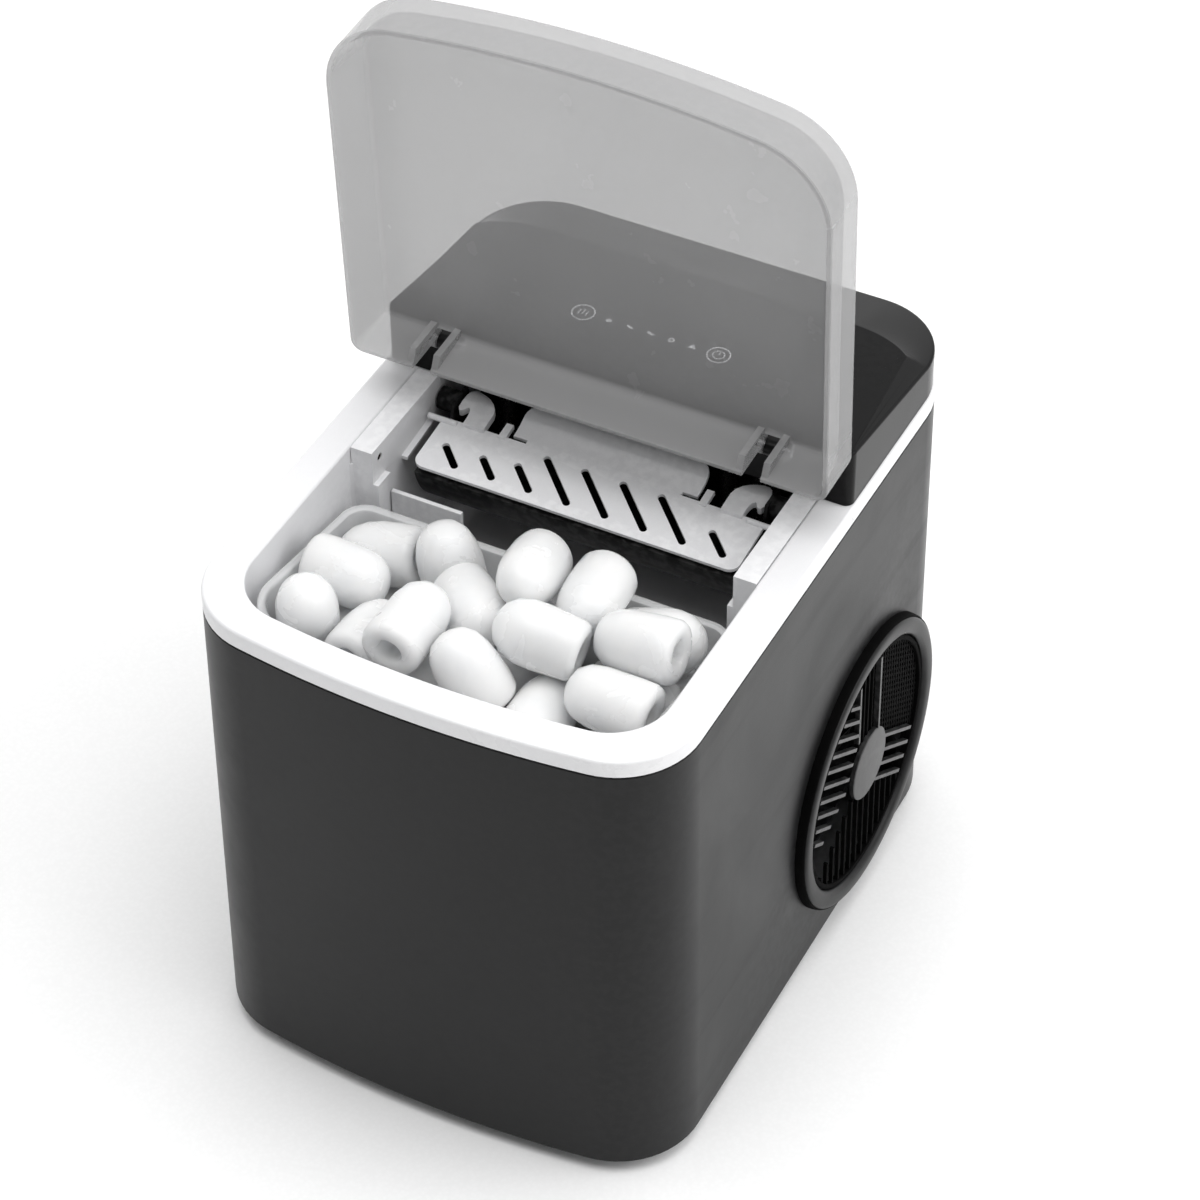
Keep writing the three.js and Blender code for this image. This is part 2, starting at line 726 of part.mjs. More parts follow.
// Trough with a round section about its own pivot axis, so it clears the cold fingers.
function makeWaterTray() {
  const { inside, wall, halfWidth, rimZ, axisZ } = tray;
  const rimHeight = rimZ - axisZ;
  const trough = rod('x', inside + wall, -halfWidth, halfWidth, 0, 0, 36);
  const hollow = rod('x', inside, -halfWidth + wall, halfWidth - wall, 0, 0, 36);
  const above = box(-halfWidth - 1, halfWidth + 1, -60, 60, rimHeight, 60);
  const shell = without(trough, hollow, above);
  const ears = [-1, 1].map((side) => {
    const x0 = Math.min(side * (halfWidth - wall), side * halfWidth);
    const x1 = Math.max(side * (halfWidth - wall), side * halfWidth);
    return prismAlongX([[-9, rimHeight - 1], [9, rimHeight - 1], [6, 5], [-6, 5]], x0, x1);
  });
  const bosses = [-1, 1].map((side) => rod('x', 5.2,
    Math.min(side * (halfWidth - wall), side * 84.4),
    Math.max(side * (halfWidth - wall), side * 84.4), 0, 0, 20));
  const bores = [-1, 1].map((side) => rod('x', 2.8,
    Math.min(side * 79, side * 86), Math.max(side * 79, side * 86), 0, 0, 16));
  return without(joined(shell, ...ears, ...bosses), ...bores);
}

function makeTrayMotor() {
  const can = rod('x', 15, 93, 107, tray.axisY, tray.axisZ - 12, 24);
  const gearbox = box(90.7, 95, tray.axisY - 12, tray.axisY + 12, tray.axisZ - 26,
    tray.axisZ + 8 - 5.4);
  const shaft = rod('x', 2.5, 79.6, 92, tray.axisY, tray.axisZ, 16);
  return joined(can, gearbox, shaft);
}

function makeTrayPivotPin() {
  const shaft = rod('x', 2.5, -96, -79.6, tray.axisY, tray.axisZ, 16);
  const head = rod('x', 3.2, -95.5, -93, tray.axisY, tray.axisZ, 16);
  return joined(shaft, head);
}

place('water_tray', makeWaterTray(), 'black', { at: [0, tray.axisY, tray.axisZ] });
place('tray_motor', makeTrayMotor(), 'zinc');
place('tray_pivot_pin', makeTrayPivotPin(), 'steel');

// ---------------------------------------------------------------- evaporator

function makeEvaporator() {
  const { y, z, tubeRadius, fingerCount, fingerPitch, fingerRadius, fingerBottom } = evaporator;
  const end = 88;
  const tube = tubeAlong([
    [-80, end, z], [-80, 74, z], [-79, 62, z], [-73, y, z], [-40, y, z], [0, y, z],
    [40, y, z], [73, y, z], [79, 62, z], [80, 74, z], [80, end, z]], tubeRadius, 8, 26);
  const fingers = [];
  for (let i = 0; i < fingerCount; i += 1) {
    const x = (i - (fingerCount - 1) / 2) * fingerPitch;
    const profile = [[0, 0], [fingerRadius * 0.6, 0.4], [fingerRadius, 3],
      [fingerRadius, z - fingerBottom], [0, z - fingerBottom]];
    fingers.push(turned(profile, SMALL).translate([x, y, fingerBottom]));
  }
  return joined(tube, ...fingers);
}

function makeEvaporatorFoam() {
  const lobes = [];
  const low = evaporator.z + evaporator.tubeRadius + 0.5;
  const high = low + 9;
  for (let i = -4; i <= 4; i += 1) {
    lobes.push(rod('z', 9.5, low, high, i * evaporator.fingerPitch, evaporator.y + 1, 12));
  }
  return joined(box(-66, 66, 50, 66, low, high), ...lobes);
}

place('evaporator', makeEvaporator(), 'steel');
place('evaporator_foam', makeEvaporatorFoam(), 'foam');

// ---------------------------------------------------------------- cooling circuit

function makeCompressor() {
  const { radius, bottom, top } = compressor;
  const height = top - bottom;
  const can = turned([[0, 0], [radius - 12, 0], [radius - 2, 6], [radius, 14],
    [radius, height - 26], [radius - 6, height - 10], [radius - 22, height - 1],
    [0, height]], ROUND);
  const seam = rod('z', radius + 2, 44, 49, 0, 0, ROUND);
  return joined(can, seam);
}

function makeCompressorMount() {
  const { x, y, bottom } = compressor;
  const plate = box(x - 40, x + 40, y - 40, y + 40, 17.4, bottom - GAP);
  const posts = [-1, 1].flatMap((sx) => [-1, 1].map(
    (sy) => rod('z', 6, baseTop + GAP, 18, x + sx * 35, y + sy * 35, SMALL)));
  return joined(plate, ...posts);
}

function makeCondenser() {
  const parts = [];
  for (let i = 0; i < 7; i += 1) {
    const y = 18 + i * 16;
    parts.push(box(22, 42, y, y + 1.4, 14, 132));
  }
  for (let i = 0; i < 3; i += 1) {
    parts.push(rod('y', 3.4, 14, 120, 32, 26 + i * 46, 6));
  }
  parts.push(box(26, 38, 14, 15.4, 20, 126));
  parts.push(box(26, 38, 118.6, 120, 20, 126));
  return joined(...parts);
}

const drier = { x: 4, y: 130, radius: 7, bottom: 60, top: 96 };

function makeFilterDrier() {
  const { radius, bottom, top } = drier;
  const length = top - bottom;
  return turned([[0, 0], [2.5, 0], [2.5, 4], [radius, 9], [radius, length - 9], [2.5, length - 4],
    [2.5, length], [0, length]], 16);
}

place('compressor', makeCompressor(), 'enamel',
  { at: [compressor.x, compressor.y, compressor.bottom] });
place('compressor_mount', makeCompressorMount(), 'zinc');
place('condenser', makeCondenser(), 'aluminium');
place('filter_drier', makeFilterDrier(), 'copper', { at: [drier.x, drier.y, drier.bottom] });

place('discharge_tube', tubeAlong([
  [-30, 78, 128.5], [-30, 80, 136], [-22, 86, 144], [0, 96, 147], [24, 103, 145],
  [32, 104, 140], [32, 104, 134.5]], 3, 6, 14), 'copper');
place('liquid_tube', tubeAlong([
  [32, 120.6, 26], [32, 126, 27], [24, 130, 32], [10, 130, 40], [4, 130, 50],
  [4, 130, 59.5]], 2.2, 6, 12), 'copper');
place('capillary_tube', tubeAlong([
  [4, 130, 96.5], [6, 128, 112], [24, 112, 140], [54, 104, 180], [76, 104, 222],
  [80, 98, 242], [80, 92, 245], [80, 88.6, 245]], 1.6, 6, 18), 'copper');
place('suction_tube', tubeAlong([
  [-80, 88.6, 245], [-80, 96, 244], [-80, 106, 234], [-80, 114, 200], [-76, 130, 150],
  [-62, 140, 122], [-52, 136, 112], [-52, 125.5, 110]], 3.4, 6, 20), 'copper');

// ---------------------------------------------------------------- fan

function makeFanShroud() {
  const half = 57.5;
  const plate = box(70, 72, vent.y - half, vent.y + half, baseTop + GAP, vent.z + half);
  const hole = rod('x', 55, 60, 80, vent.y, vent.z);
  const barrel = without(
    rod('x', 57, 70.5, 96, vent.y, vent.z),
    rod('x', 55, 60, 100, vent.y, vent.z));
  const boss = rod('x', 20, 70, 72, vent.y, vent.z, 16);
  const arms = [box(70, 72, vent.y - 56, vent.y + 56, vent.z - 4, vent.z + 4),
    box(70, 72, vent.y - 4, vent.y + 4, vent.z - 56, vent.z + 56)];
  const bore = rod('x', 3.6, 60, 80, vent.y, vent.z, SMALL);
  return without(joined(without(plate, hole), barrel, boss, ...arms), bore);
}

function makeFanMotor() {
  const can = rod('x', 19, 50, 69.7, vent.y, vent.z, 20);
  const shaft = rod('x', 2.2, 69, 83, vent.y, vent.z, SMALL);
  return joined(can, shaft);
}

function makeFanBlade() {
  const hub = rod('x', fan.hub, -7.5, 7.5, 0, 0, 21);
  const blades = [];
  for (let i = 0; i < fan.blades; i += 1) {
    const blade = new THREE.BoxGeometry(2, 26, fan.radius - fan.hub + 2);
    blade.rotateZ(THREE.MathUtils.degToRad(-58));
    blade.rotateZ(THREE.MathUtils.degToRad(90));
    blade.translate(0, 0, (fan.radius + fan.hub) / 2 - 1);
    blade.rotateX((i / fan.blades) * Math.PI * 2);
    blades.push(solid(blade));
  }
  const sweep = rod('x', fan.radius, -7.2, 7.2, 0, 0, 28);
  const bore = rod('x', 2.6, -8, -2, 0, 0, SMALL);
  return without(joined(hub, joined(...blades).intersect(sweep)), bore);
}

place('fan_shroud', makeFanShroud(), 'black');
place('fan_motor', makeFanMotor(), 'zinc');
place('fan_blade', makeFanBlade(), 'black', { at: [fan.x, vent.y, vent.z] });

// ---------------------------------------------------------------- round side grille

// Its own frame: x runs out of the side wall, and the whole group leans with the shell.
function sideSector(side) {
  const far = 80;
  return side === 'y'
    ? [[0, 0], [far, far], [far, -far]]
    : [[0, 0], [far, far], [-far, far]];
}

function makeGrille() {
  const face = vent.bezelHeight - vent.recess;
  const disc = rod('x', vent.radius, -vent.thickness, 0, 0, 0, 36);
  const field = without(rod('x', vent.radius - 4, -4, 1, 0, 0, 24),
    rod('x', vent.hub, -5, 2, 0, 0, 16));
  const slots = [];
  const half = vent.slotWidth / 2;
  for (let i = -7; i <= 7; i += 1) {
    const middle = i * vent.slotPitch;
    const alongY = box(-4, 1, -80, 80, middle - half, middle + half);
    const alongZ = box(-4, 1, middle - half, middle + half, -80, 80);
    for (const sign of [-1, 1]) {
      const wedge = (side) => prismAlongX(
        sideSector(side).map(([y, z]) => [sign * (y + (side === 'y' ? 3 : 0)),
          sign * (z + (side === 'z' ? 3 : 0))]), -5, 2);
      slots.push(alongY.intersect(wedge('y')));
      slots.push(alongZ.intersect(wedge('z')));
    }
  }
  return without(disc, joined(...slots).intersect(field)).translate([face, 0, 0]);
}

// The bezel rises like a shallow cone, with a flat edge round the grille.
function makeBezel() {
  const height = vent.bezelHeight;
  const inner = vent.radius + 0.8;
  const outer = vent.bezelOuter;
  return solid(new THREE.LatheGeometry([
    [inner, GAP], [outer, GAP], [outer - 1, height * 0.6], [outer - 4, height],
    [inner + 2, height], [inner, height * 0.75], [inner, GAP],
  ].map(([r, h]) => new THREE.Vector2(r, h)), 44).rotateZ(-Math.PI / 2));
}

const ventGroup = new THREE.Group();
ventGroup.position.set(body.halfWidth + grownAt(vent.z), vent.y, vent.z);
ventGroup.rotation.y = -draftAngle;
machine.add(ventGroup);
place('side_grille', makeGrille(), 'black', { parent: ventGroup });
place('grille_bezel', makeBezel(), 'shell', { parent: ventGroup });

// ---------------------------------------------------------------- water circuit

function makePump() {
  const { radius, bottom, top } = pump;
  const can = turned([[0, 0], [radius, 0], [radius, 26], [radius - 5, 32], [radius - 5, 40],
    [4, 42], [4, top - bottom], [0, top - bottom]], 20);
  const inlet = rod('y', 4, -15.5, 0, 0, 50 - bottom, SMALL);
  return joined(can, inlet).translate([pump.x, pump.y, bottom]);
}

place('water_pump', makePump(), 'black');
place('pump_inlet_hose', without(
  rod('y', 4.4, -19.3, -11, pump.x, 50, 16),
  rod('y', 2.4, -25, -5, pump.x, 50, 16)), 'hose');
place('pump_outlet_hose', tubeAlong([
  [pump.x, pump.y, 60.5], [pump.x, pump.y, 100], [-64, pump.y, 126], [-82, pump.y, 148],
  [-96, pump.y, 168], [-99.5, pump.y, 190], [-99.5, pump.y, 228]], 4, 6, 16), 'hose');
place('drain_hose', tubeAlong([
  [-70, -60, 39.2], [-70, -60, 36], [-78, -57, 26], [-96, -46, 18], [-104, -24, 17.5],
  [-105, 20, 17.5], [-105, 80, 17.5], [-103, 110, 18], [-88, 128, 24], [-66, 133, 33],
  [-54, 134, drain.z], [drain.x, 137, drain.z], [drain.x, 141, drain.z]], 4.2, 6, 36), 'hose');

function makeDrainOutlet() {
  const y = panel.front + panel.thickness;
  const flange = rod('y', 11, y + GAP, y + 2.2, drain.x, drain.z, 20);
  const neck = rod('y', drain.neck, 141.6, y + 1, drain.x, drain.z, 20);
  const bore = rod('y', 5.6, 143.5, 160, drain.x, drain.z, 20);
  const feed = rod('y', 3, 140, 145, drain.x, drain.z, 12);
  return without(joined(flange, neck), bore, feed);
}

function makeDrainPlug() {
  const y = panel.front + panel.thickness + 2.2;
  const cap = rod('y', 9.5, y + GAP, y + 4, drain.x, drain.z, 20);
  const stem = rod('y', 5.2, 145.5, y + 1, drain.x, drain.z, 20);
  const tab = box(drain.x - 1.6, drain.x + 1.6, y + 3, y + 6.5, drain.z - 7, drain.z + 7);
  return joined(cap, stem, tab);
}

place('drain_outlet', makeDrainOutlet(), 'black');
place('drain_plug', makeDrainPlug(), 'rubber');

// ---------------------------------------------------------------- power inlet gland

function makeGland() {
  const y = panel.front + panel.thickness;
  const flange = rod('y', 10, y + GAP, y + 3, gland.x, gland.z, 20);
  const neck = rod('y', gland.neck, 141, y + 1, gland.x, gland.z, 20);
  const nut = rod('y', 9.5, 142.5, panel.front - GAP, gland.x, gland.z, 6);
  const bore = rod('y', 3.3, 130, 160, gland.x, gland.z, 16);
  return without(joined(flange, neck, nut), bore);
}

place('power_gland', makeGland(), 'black');

export default machine;
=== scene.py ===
import math
import random

import bmesh
import bpy
import numpy as np
from mathutils import Matrix, Vector


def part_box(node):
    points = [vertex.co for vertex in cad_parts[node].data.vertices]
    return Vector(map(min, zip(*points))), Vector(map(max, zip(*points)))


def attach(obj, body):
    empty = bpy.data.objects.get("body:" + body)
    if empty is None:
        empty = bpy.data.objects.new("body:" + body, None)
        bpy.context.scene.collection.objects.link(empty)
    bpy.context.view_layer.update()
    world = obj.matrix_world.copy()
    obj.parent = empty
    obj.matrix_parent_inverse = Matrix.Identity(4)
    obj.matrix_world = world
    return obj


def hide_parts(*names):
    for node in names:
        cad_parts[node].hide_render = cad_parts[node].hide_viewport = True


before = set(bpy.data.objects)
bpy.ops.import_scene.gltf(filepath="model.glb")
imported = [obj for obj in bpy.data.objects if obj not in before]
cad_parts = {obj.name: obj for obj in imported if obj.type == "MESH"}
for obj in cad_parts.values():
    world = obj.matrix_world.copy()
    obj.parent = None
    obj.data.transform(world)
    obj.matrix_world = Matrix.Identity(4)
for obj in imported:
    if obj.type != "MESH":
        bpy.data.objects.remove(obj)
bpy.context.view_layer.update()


# ---------------------------------------------------------------- outer shell
# The charcoal casing is one sheet wrapped round front, sides and back, painted satin.
# Its front is bowed, and it leans in a little on the way up. The rear opening takes the
# louvred panel, and the round hole in the right side takes the fan outlet.

MM = 0.001


def node_box(node):
    """The lowest and highest corner of a CAD node, in millimetres."""
    low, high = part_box(node)
    return low / MM, high / MM


rim_low, rim_high = node_box("rim_frame")
shell_low, shell_high = node_box("outer_shell")
vent_low, vent_high = node_box("side_grille")

PLAN = {"half_width": rim_high.x, "front": rim_low.y, "back": rim_high.y, "bow": 11.4,
        "corner": 37.0}
SHELL_WALL = 2.2
DRAFT = shell_high.x - rim_high.x
VENT_CENTRE = Vector((0, (vent_low.y + vent_high.y) / 2, (vent_low.z + vent_high.z) / 2))
VENT_RADIUS = (vent_high.y - vent_low.y) / 2
DRAFT_ANGLE = math.atan(DRAFT / (shell_high.z - shell_low.z))


def plan_outline(half_width, front, back, bow, corner, back_corner=None, grow=0.0,
                 arc_steps=14, bow_steps=16):
    """A round-cornered rectangle with a bowed front, as a loop of plan points."""
    w = half_width + grow
    r = corner + grow
    rb = max((corner if back_corner is None else back_corner) + grow, 0.4)
    lean = math.atan(2 * bow * (w - r) / w ** 2)
    end_x = w - r + r * math.sin(lean)
    centre_y = front - grow + bow * (end_x / w) ** 2 + r * math.cos(lean)
    right = []
    for i in range(bow_steps // 2 + 1):
        x = end_x * i / (bow_steps // 2)
        right.append((x, front - grow + bow * (x / w) ** 2))
    for i in range(1, arc_steps + 1):
        turn = lean + (math.pi / 2 - lean) * i / arc_steps
        right.append((w - r + r * math.sin(turn), centre_y - r * math.cos(turn)))
    for i in range(arc_steps + 1):
        turn = math.pi / 2 * i / arc_steps
        right.append((w - rb + rb * math.cos(turn), back + grow - rb + rb * math.sin(turn)))
    return right + [(-x, y) for x, y in reversed(right[1:])]


def loft(rings, closed=False):
    """A mesh through rings of points, all of the same count; closed joins last to first."""
    bm = bmesh.new()
    rows = [[bm.verts.new(p) for p in ring] for ring in rings]
    count = len(rows[0])
    pairs = list(zip(rows, rows[1:])) + ([(rows[-1], rows[0])] if closed else [])
    for low, high in pairs:
        for i in range(count):
            j = (i + 1) % count
            bm.faces.new((low[i], low[j], high[j], high[i]))
    if not closed:
        bm.faces.new(list(reversed(rows[0])))
        bm.faces.new(rows[-1])
    bmesh.ops.recalc_face_normals(bm, faces=bm.faces)
    return bm


def wall_rings(plan, levels):
    """Rings of a plan outline for (grow, height) pairs."""
    return [[(x, y, z) for x, y in plan_outline(**plan, grow=grow)] for grow, z in levels]


def fillet(grow, z, radius, start, end, steps=4):
    """(grow, height) pairs round an edge; start and end are angles, 0 outwards, 90 up."""
    pairs = []
    for i in range(steps + 1):
        turn = math.radians(start + (end - start) * i / steps)
        pairs.append((grow + radius * math.cos(turn), z + radius * math.sin(turn)))
    return pairs


def bar(x0, x1, y0, y1, z0, z1):
    """A rectangular bar between six planes, as a mesh to cut with or to soften."""
    bm = bmesh.new()
    bmesh.ops.create_cube(bm, size=1)
    size = Matrix.Diagonal((x1 - x0, y1 - y0, z1 - z0, 1))
    bm.transform(Matrix.Translation(((x0 + x1) / 2, (y0 + y1) / 2, (z0 + z1) / 2)) @ size)
    return bm


AXIS_TURN = {"x": Matrix.Rotation(math.pi / 2, 4, "Y"), "y": Matrix.Rotation(-math.pi / 2, 4, "X"),
             "z": Matrix.Identity(4)}


def turned(profile, axis="z", at=(0, 0, 0), sides=48):
    """A lathe-turned solid: profile is [radius, height] pairs from one end to the other.
    It closes on the axis at radius 0, or on itself where both ends lie off the axis."""
    bm = bmesh.new()
    rows = []
    for radius, height in profile:
        if radius < 1e-6:
            rows.append([bm.verts.new((0, 0, height))])
            continue
        turns = [2 * math.pi * i / sides for i in range(sides)]
        rows.append([bm.verts.new((radius * math.cos(t), radius * math.sin(t), height))
                     for t in turns])
    pairs = list(zip(rows, rows[1:]))
    if len(rows[0]) > 1 and len(rows[-1]) > 1:
        pairs.append((rows[-1], rows[0]))
    for low, high in pairs:
        for i in range(sides):
            j = (i + 1) % sides
            ring = [low[i % len(low)], low[j % len(low)], high[j % len(high)],
                    high[i % len(high)]]
            corners = list(dict.fromkeys(ring))
            if len(corners) > 2:
                bm.faces.new(corners)
    bmesh.ops.recalc_face_normals(bm, faces=bm.faces)
    bm.transform(Matrix.Translation(at) @ AXIS_TURN[axis])
    return bm


def rod(axis, radius, start, end, at, sides=48):
    """A plain round rod along an axis, from start to end, for cutting or joining."""
    return turned([(0, start), (radius, start), (radius, end), (0, end)], axis, at, sides)


def blank(name, bm):
    """Turns a mesh in millimetres into an object in metres, not yet part of the machine."""
    bm.transform(Matrix.Scale(MM, 4))
    mesh = bpy.data.meshes.new(name)
    bm.to_mesh(mesh)
    bm.free()
    obj = bpy.data.objects.new(name, mesh)
    bpy.context.scene.collection.objects.link(obj)
    return obj


def settle(obj):
    """Applies the modifiers on an object."""
    bpy.context.view_layer.update()
    graph = bpy.context.evaluated_depsgraph_get()
    mesh = bpy.data.meshes.new_from_object(obj.evaluated_get(graph), depsgraph=graph)
    obj.modifiers.clear()
    obj.data = mesh


def combine(obj, tools, operation="DIFFERENCE"):
    """Cuts tools out of an object, or joins them to it, and throws the tools away."""
    for bm in tools:
        tool = blank(obj.name + "_tool", bm)
        step = obj.modifiers.new("combine", "BOOLEAN")
        step.operation = operation
        step.solver = "EXACT"
        step.object = tool
        settle(obj)
        bpy.data.objects.remove(tool)
    return obj


def soften(obj, width, segments=3, angle=35):
    """Rounds the sharp edges by a width in millimetres."""
    step = obj.modifiers.new("soften", "BEVEL")
    step.width = width * MM
    step.segments = segments
    step.limit_method = "ANGLE"
    step.angle_limit = math.radians(angle)
    step.miter_outer = "MITER_ARC"
    step.use_clamp_overlap = True
    settle(obj)
    return obj


def fit_piece(obj, material, body, nodes=(), sharp=38):
    """Gives a finished mesh its material and shading, and fixes it to a body."""
    mesh = obj.data
    mesh.materials.clear()
    mesh.materials.append(material)
    mesh.polygons.foreach_set("use_smooth", [True] * len(mesh.polygons))
    mesh.set_sharp_from_angle(angle=math.radians(sharp))
    step = obj.modifiers.new("even_shading", "WEIGHTED_NORMAL")
    step.keep_sharp = True
    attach(obj, body)
    if nodes:
        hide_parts(*nodes)
    return obj


def new_group(name, inputs, outputs):
    """An empty shader node group with float inputs, given as {name: value}, and outputs."""
    group = bpy.data.node_groups.new(name, "ShaderNodeTree")
    for label, value in inputs.items():
        socket = group.interface.new_socket(label, in_out="INPUT", socket_type="NodeSocketFloat")
        socket.default_value = value
    for label in outputs:
        group.interface.new_socket(label, in_out="OUTPUT", socket_type="NodeSocketFloat")
    entry = group.nodes.new("NodeGroupInput")
    leave = group.nodes.new("NodeGroupOutput")
    return group, entry, leave


def link(tree, source, target):
    tree.links.new(source, target)


def place_coordinates(tree):
    """Coordinates that are fixed to the piece, in metres."""
    return tree.nodes.new("ShaderNodeTexCoord").outputs["Object"]


def map_range(tree, value, low, high, to_low=0.0, to_high=1.0):
    node = tree.nodes.new("ShaderNodeMapRange")
    link(tree, value, node.inputs["Value"])
    for label, number in (("From Min", low), ("From Max", high), ("To Min", to_low),
                          ("To Max", to_high)):
        if isinstance(number, bpy.types.NodeSocket):
            link(tree, number, node.inputs[label])
        else:
            node.inputs[label].default_value = number
    return node.outputs["Result"]


def make_grain_group():
    """Fine even grain of paint or moulded plastic: a height and a speckle mask."""
    group, entry, leave = new_group("fine_grain", {"Scale": 900.0}, ("Height", "Speckle"))
    here = place_coordinates(group)
    noise = group.nodes.new("ShaderNodeTexNoise")
    noise.inputs["Detail"].default_value = 3.0
    noise.inputs["Roughness"].default_value = 0.6
    link(group, here, noise.inputs["Vector"])
    link(group, entry.outputs["Scale"], noise.inputs["Scale"])
    cells = group.nodes.new("ShaderNodeTexVoronoi")
    link(group, here, cells.inputs["Vector"])
    link(group, entry.outputs["Scale"], cells.inputs["Scale"])
    link(group, noise.outputs["Fac"], leave.inputs["Height"])
    link(group, map_range(group, cells.outputs["Distance"], 0.0, 0.7), leave.inputs["Speckle"])
    return group


def make_handling_group():
    """Broad uneven patches left by handling and wiping, and long faint wipe marks."""
    group, entry, leave = new_group("handling", {"Patch Scale": 14.0, "Streak Scale": 90.0},
                                    ("Patches", "Streaks"))
    here = place_coordinates(group)
    patches = group.nodes.new("ShaderNodeTexNoise")
    patches.inputs["Detail"].default_value = 5.0
    patches.inputs["Distortion"].default_value = 0.6
    link(group, here, patches.inputs["Vector"])
    link(group, entry.outputs["Patch Scale"], patches.inputs["Scale"])
    stretch = group.nodes.new("ShaderNodeMapping")
    stretch.inputs["Rotation"].default_value = (0.3, 0.5, 0.8)
    stretch.inputs["Scale"].default_value = (1.0, 0.06, 1.0)
    link(group, here, stretch.inputs["Vector"])
    streaks = group.nodes.new("ShaderNodeTexNoise")
    streaks.inputs["Detail"].default_value = 4.0
    link(group, stretch.outputs["Vector"], streaks.inputs["Vector"])
    link(group, entry.outputs["Streak Scale"], streaks.inputs["Scale"])
    link(group, map_range(group, patches.outputs["Fac"], 0.35, 0.65), leave.inputs["Patches"])
    link(group, map_range(group, streaks.outputs["Fac"], 0.52, 0.72), leave.inputs["Streaks"])
    return group


def make_wear_and_shade_group():
    """Rubbed edges and painted corner shade: a mask of outer edges broken up by noise, and one of
    inner corners, which darkens them as painted shade.
    """
    group, entry, leave = new_group("rubbed_edges_and_corner_shade", {"Break Scale": 260.0},
                                    ("Edges", "Corner Shade"))
    shape = group.nodes.new("ShaderNodeNewGeometry")
    noise = group.nodes.new("ShaderNodeTexNoise")
    noise.inputs["Detail"].default_value = 4.0
    link(group, place_coordinates(group), noise.inputs["Vector"])
    link(group, entry.outputs["Break Scale"], noise.inputs["Scale"])
    outer = map_range(group, shape.outputs["Pointiness"], 0.515, 0.60)
    broken = map_range(group, noise.outputs["Fac"], 0.42, 0.62)
    both = group.nodes.new("ShaderNodeMath")
    both.operation = "MULTIPLY"
    link(group, outer, both.inputs[0])
    link(group, broken, both.inputs[1])
    link(group, both.outputs[0], leave.inputs["Edges"])
    # Concave inner corners: the mask for painted shade.
    link(group, map_range(group, shape.outputs["Pointiness"], 0.485, 0.42),
         leave.inputs["Corner Shade"])
    return group


GRAIN = make_grain_group()
HANDLING = make_handling_group()
WEAR_AND_SHADE = make_wear_and_shade_group()


def use_group(tree, group, **values):
    node = tree.nodes.new("ShaderNodeGroup")
    node.node_tree = group
    for label, value in values.items():
        node.inputs[label.replace("_", " ")].default_value = value
    return node


def blend_colour(tree, mask, first, second):
    """Mixes two colours by a mask; a colour is a triple or another mix's output."""
    node = tree.nodes.new("ShaderNodeMix")
    node.data_type = "RGBA"
    link(tree, mask, node.inputs["Factor"])
    for socket, colour in ((node.inputs[6], first), (node.inputs[7], second)):
        if isinstance(colour, bpy.types.NodeSocket):
            link(tree, colour, socket)
        else:
            socket.default_value = (*colour, 1.0)
    return node.outputs[2]


def finish(name, colour, roughness, *, tint=None, worn=None, painted_corner_shade=None, grain=900.0,
           grain_height=0.02, roughness_spread=0.08, patch=14.0, settings=None):
    """A moulded, painted or cast finish. colour shades to tint in broad patches, to worn on
    rubbed edges and, as painted shade, to painted_corner_shade in inner corners. settings go
    straight on the shader."""
    material = bpy.data.materials.new(name)
    material.use_nodes = True
    tree = material.node_tree
    shader = tree.nodes["Principled BSDF"]
    handling = use_group(tree, HANDLING, Patch_Scale=patch)
    wear_and_shade = use_group(tree, WEAR_AND_SHADE)
    fine = use_group(tree, GRAIN, Scale=grain)
    tone = blend_colour(tree, handling.outputs["Patches"], colour,
                        tint or tuple(c * 0.94 for c in colour))
    speck = map_range(tree, fine.outputs["Speckle"], 0.0, 1.0, 0.0, 0.25)
    tone = blend_colour(tree, speck, tone, tuple(c * 0.88 for c in colour))
    # Painted shade: inner corners darken to the painted_corner_shade colour.
    tone = blend_colour(tree, wear_and_shade.outputs["Corner Shade"], tone, painted_corner_shade or tuple(c * 0.8 for c in colour))
    tone = blend_colour(tree, wear_and_shade.outputs["Edges"], tone, worn or tuple(min(1, c * 1.25 + 0.01)
                                                                          for c in colour))
    link(tree, tone, shader.inputs["Base Color"])
    mixed = tree.nodes.new("ShaderNodeMath")
    mixed.operation = "MULTIPLY_ADD"
    link(tree, handling.outputs["Streaks"], mixed.inputs[0])
    mixed.inputs[1].default_value = 0.5
    link(tree, handling.outputs["Patches"], mixed.inputs[2])
    rough = map_range(tree, mixed.outputs[0], 0.0, 1.5, roughness - roughness_spread / 2,
                      roughness + roughness_spread)
    link(tree, rough, shader.inputs["Roughness"])
    bump = tree.nodes.new("ShaderNodeBump")
    bump.inputs["Distance"].default_value = 0.0002
    bump.inputs["Strength"].default_value = grain_height * 10
    link(tree, fine.outputs["Height"], bump.inputs["Height"])
    link(tree, bump.outputs["Normal"], shader.inputs["Normal"])
    for label, value in (settings or {}).items():
        shader.inputs[label].default_value = value
    return material


# Its painted_corner_shade colour is painted shade in inner corners.
charcoal_paint = finish("charcoal_paint", (0.009, 0.009, 0.0093), 0.36,
                        tint=(0.011, 0.011, 0.0114), worn=(0.028, 0.028, 0.029),
                        painted_corner_shade=(0.008, 0.008, 0.008), grain=1400, grain_height=0.012,
                        settings={"Specular IOR Level": 0.19})


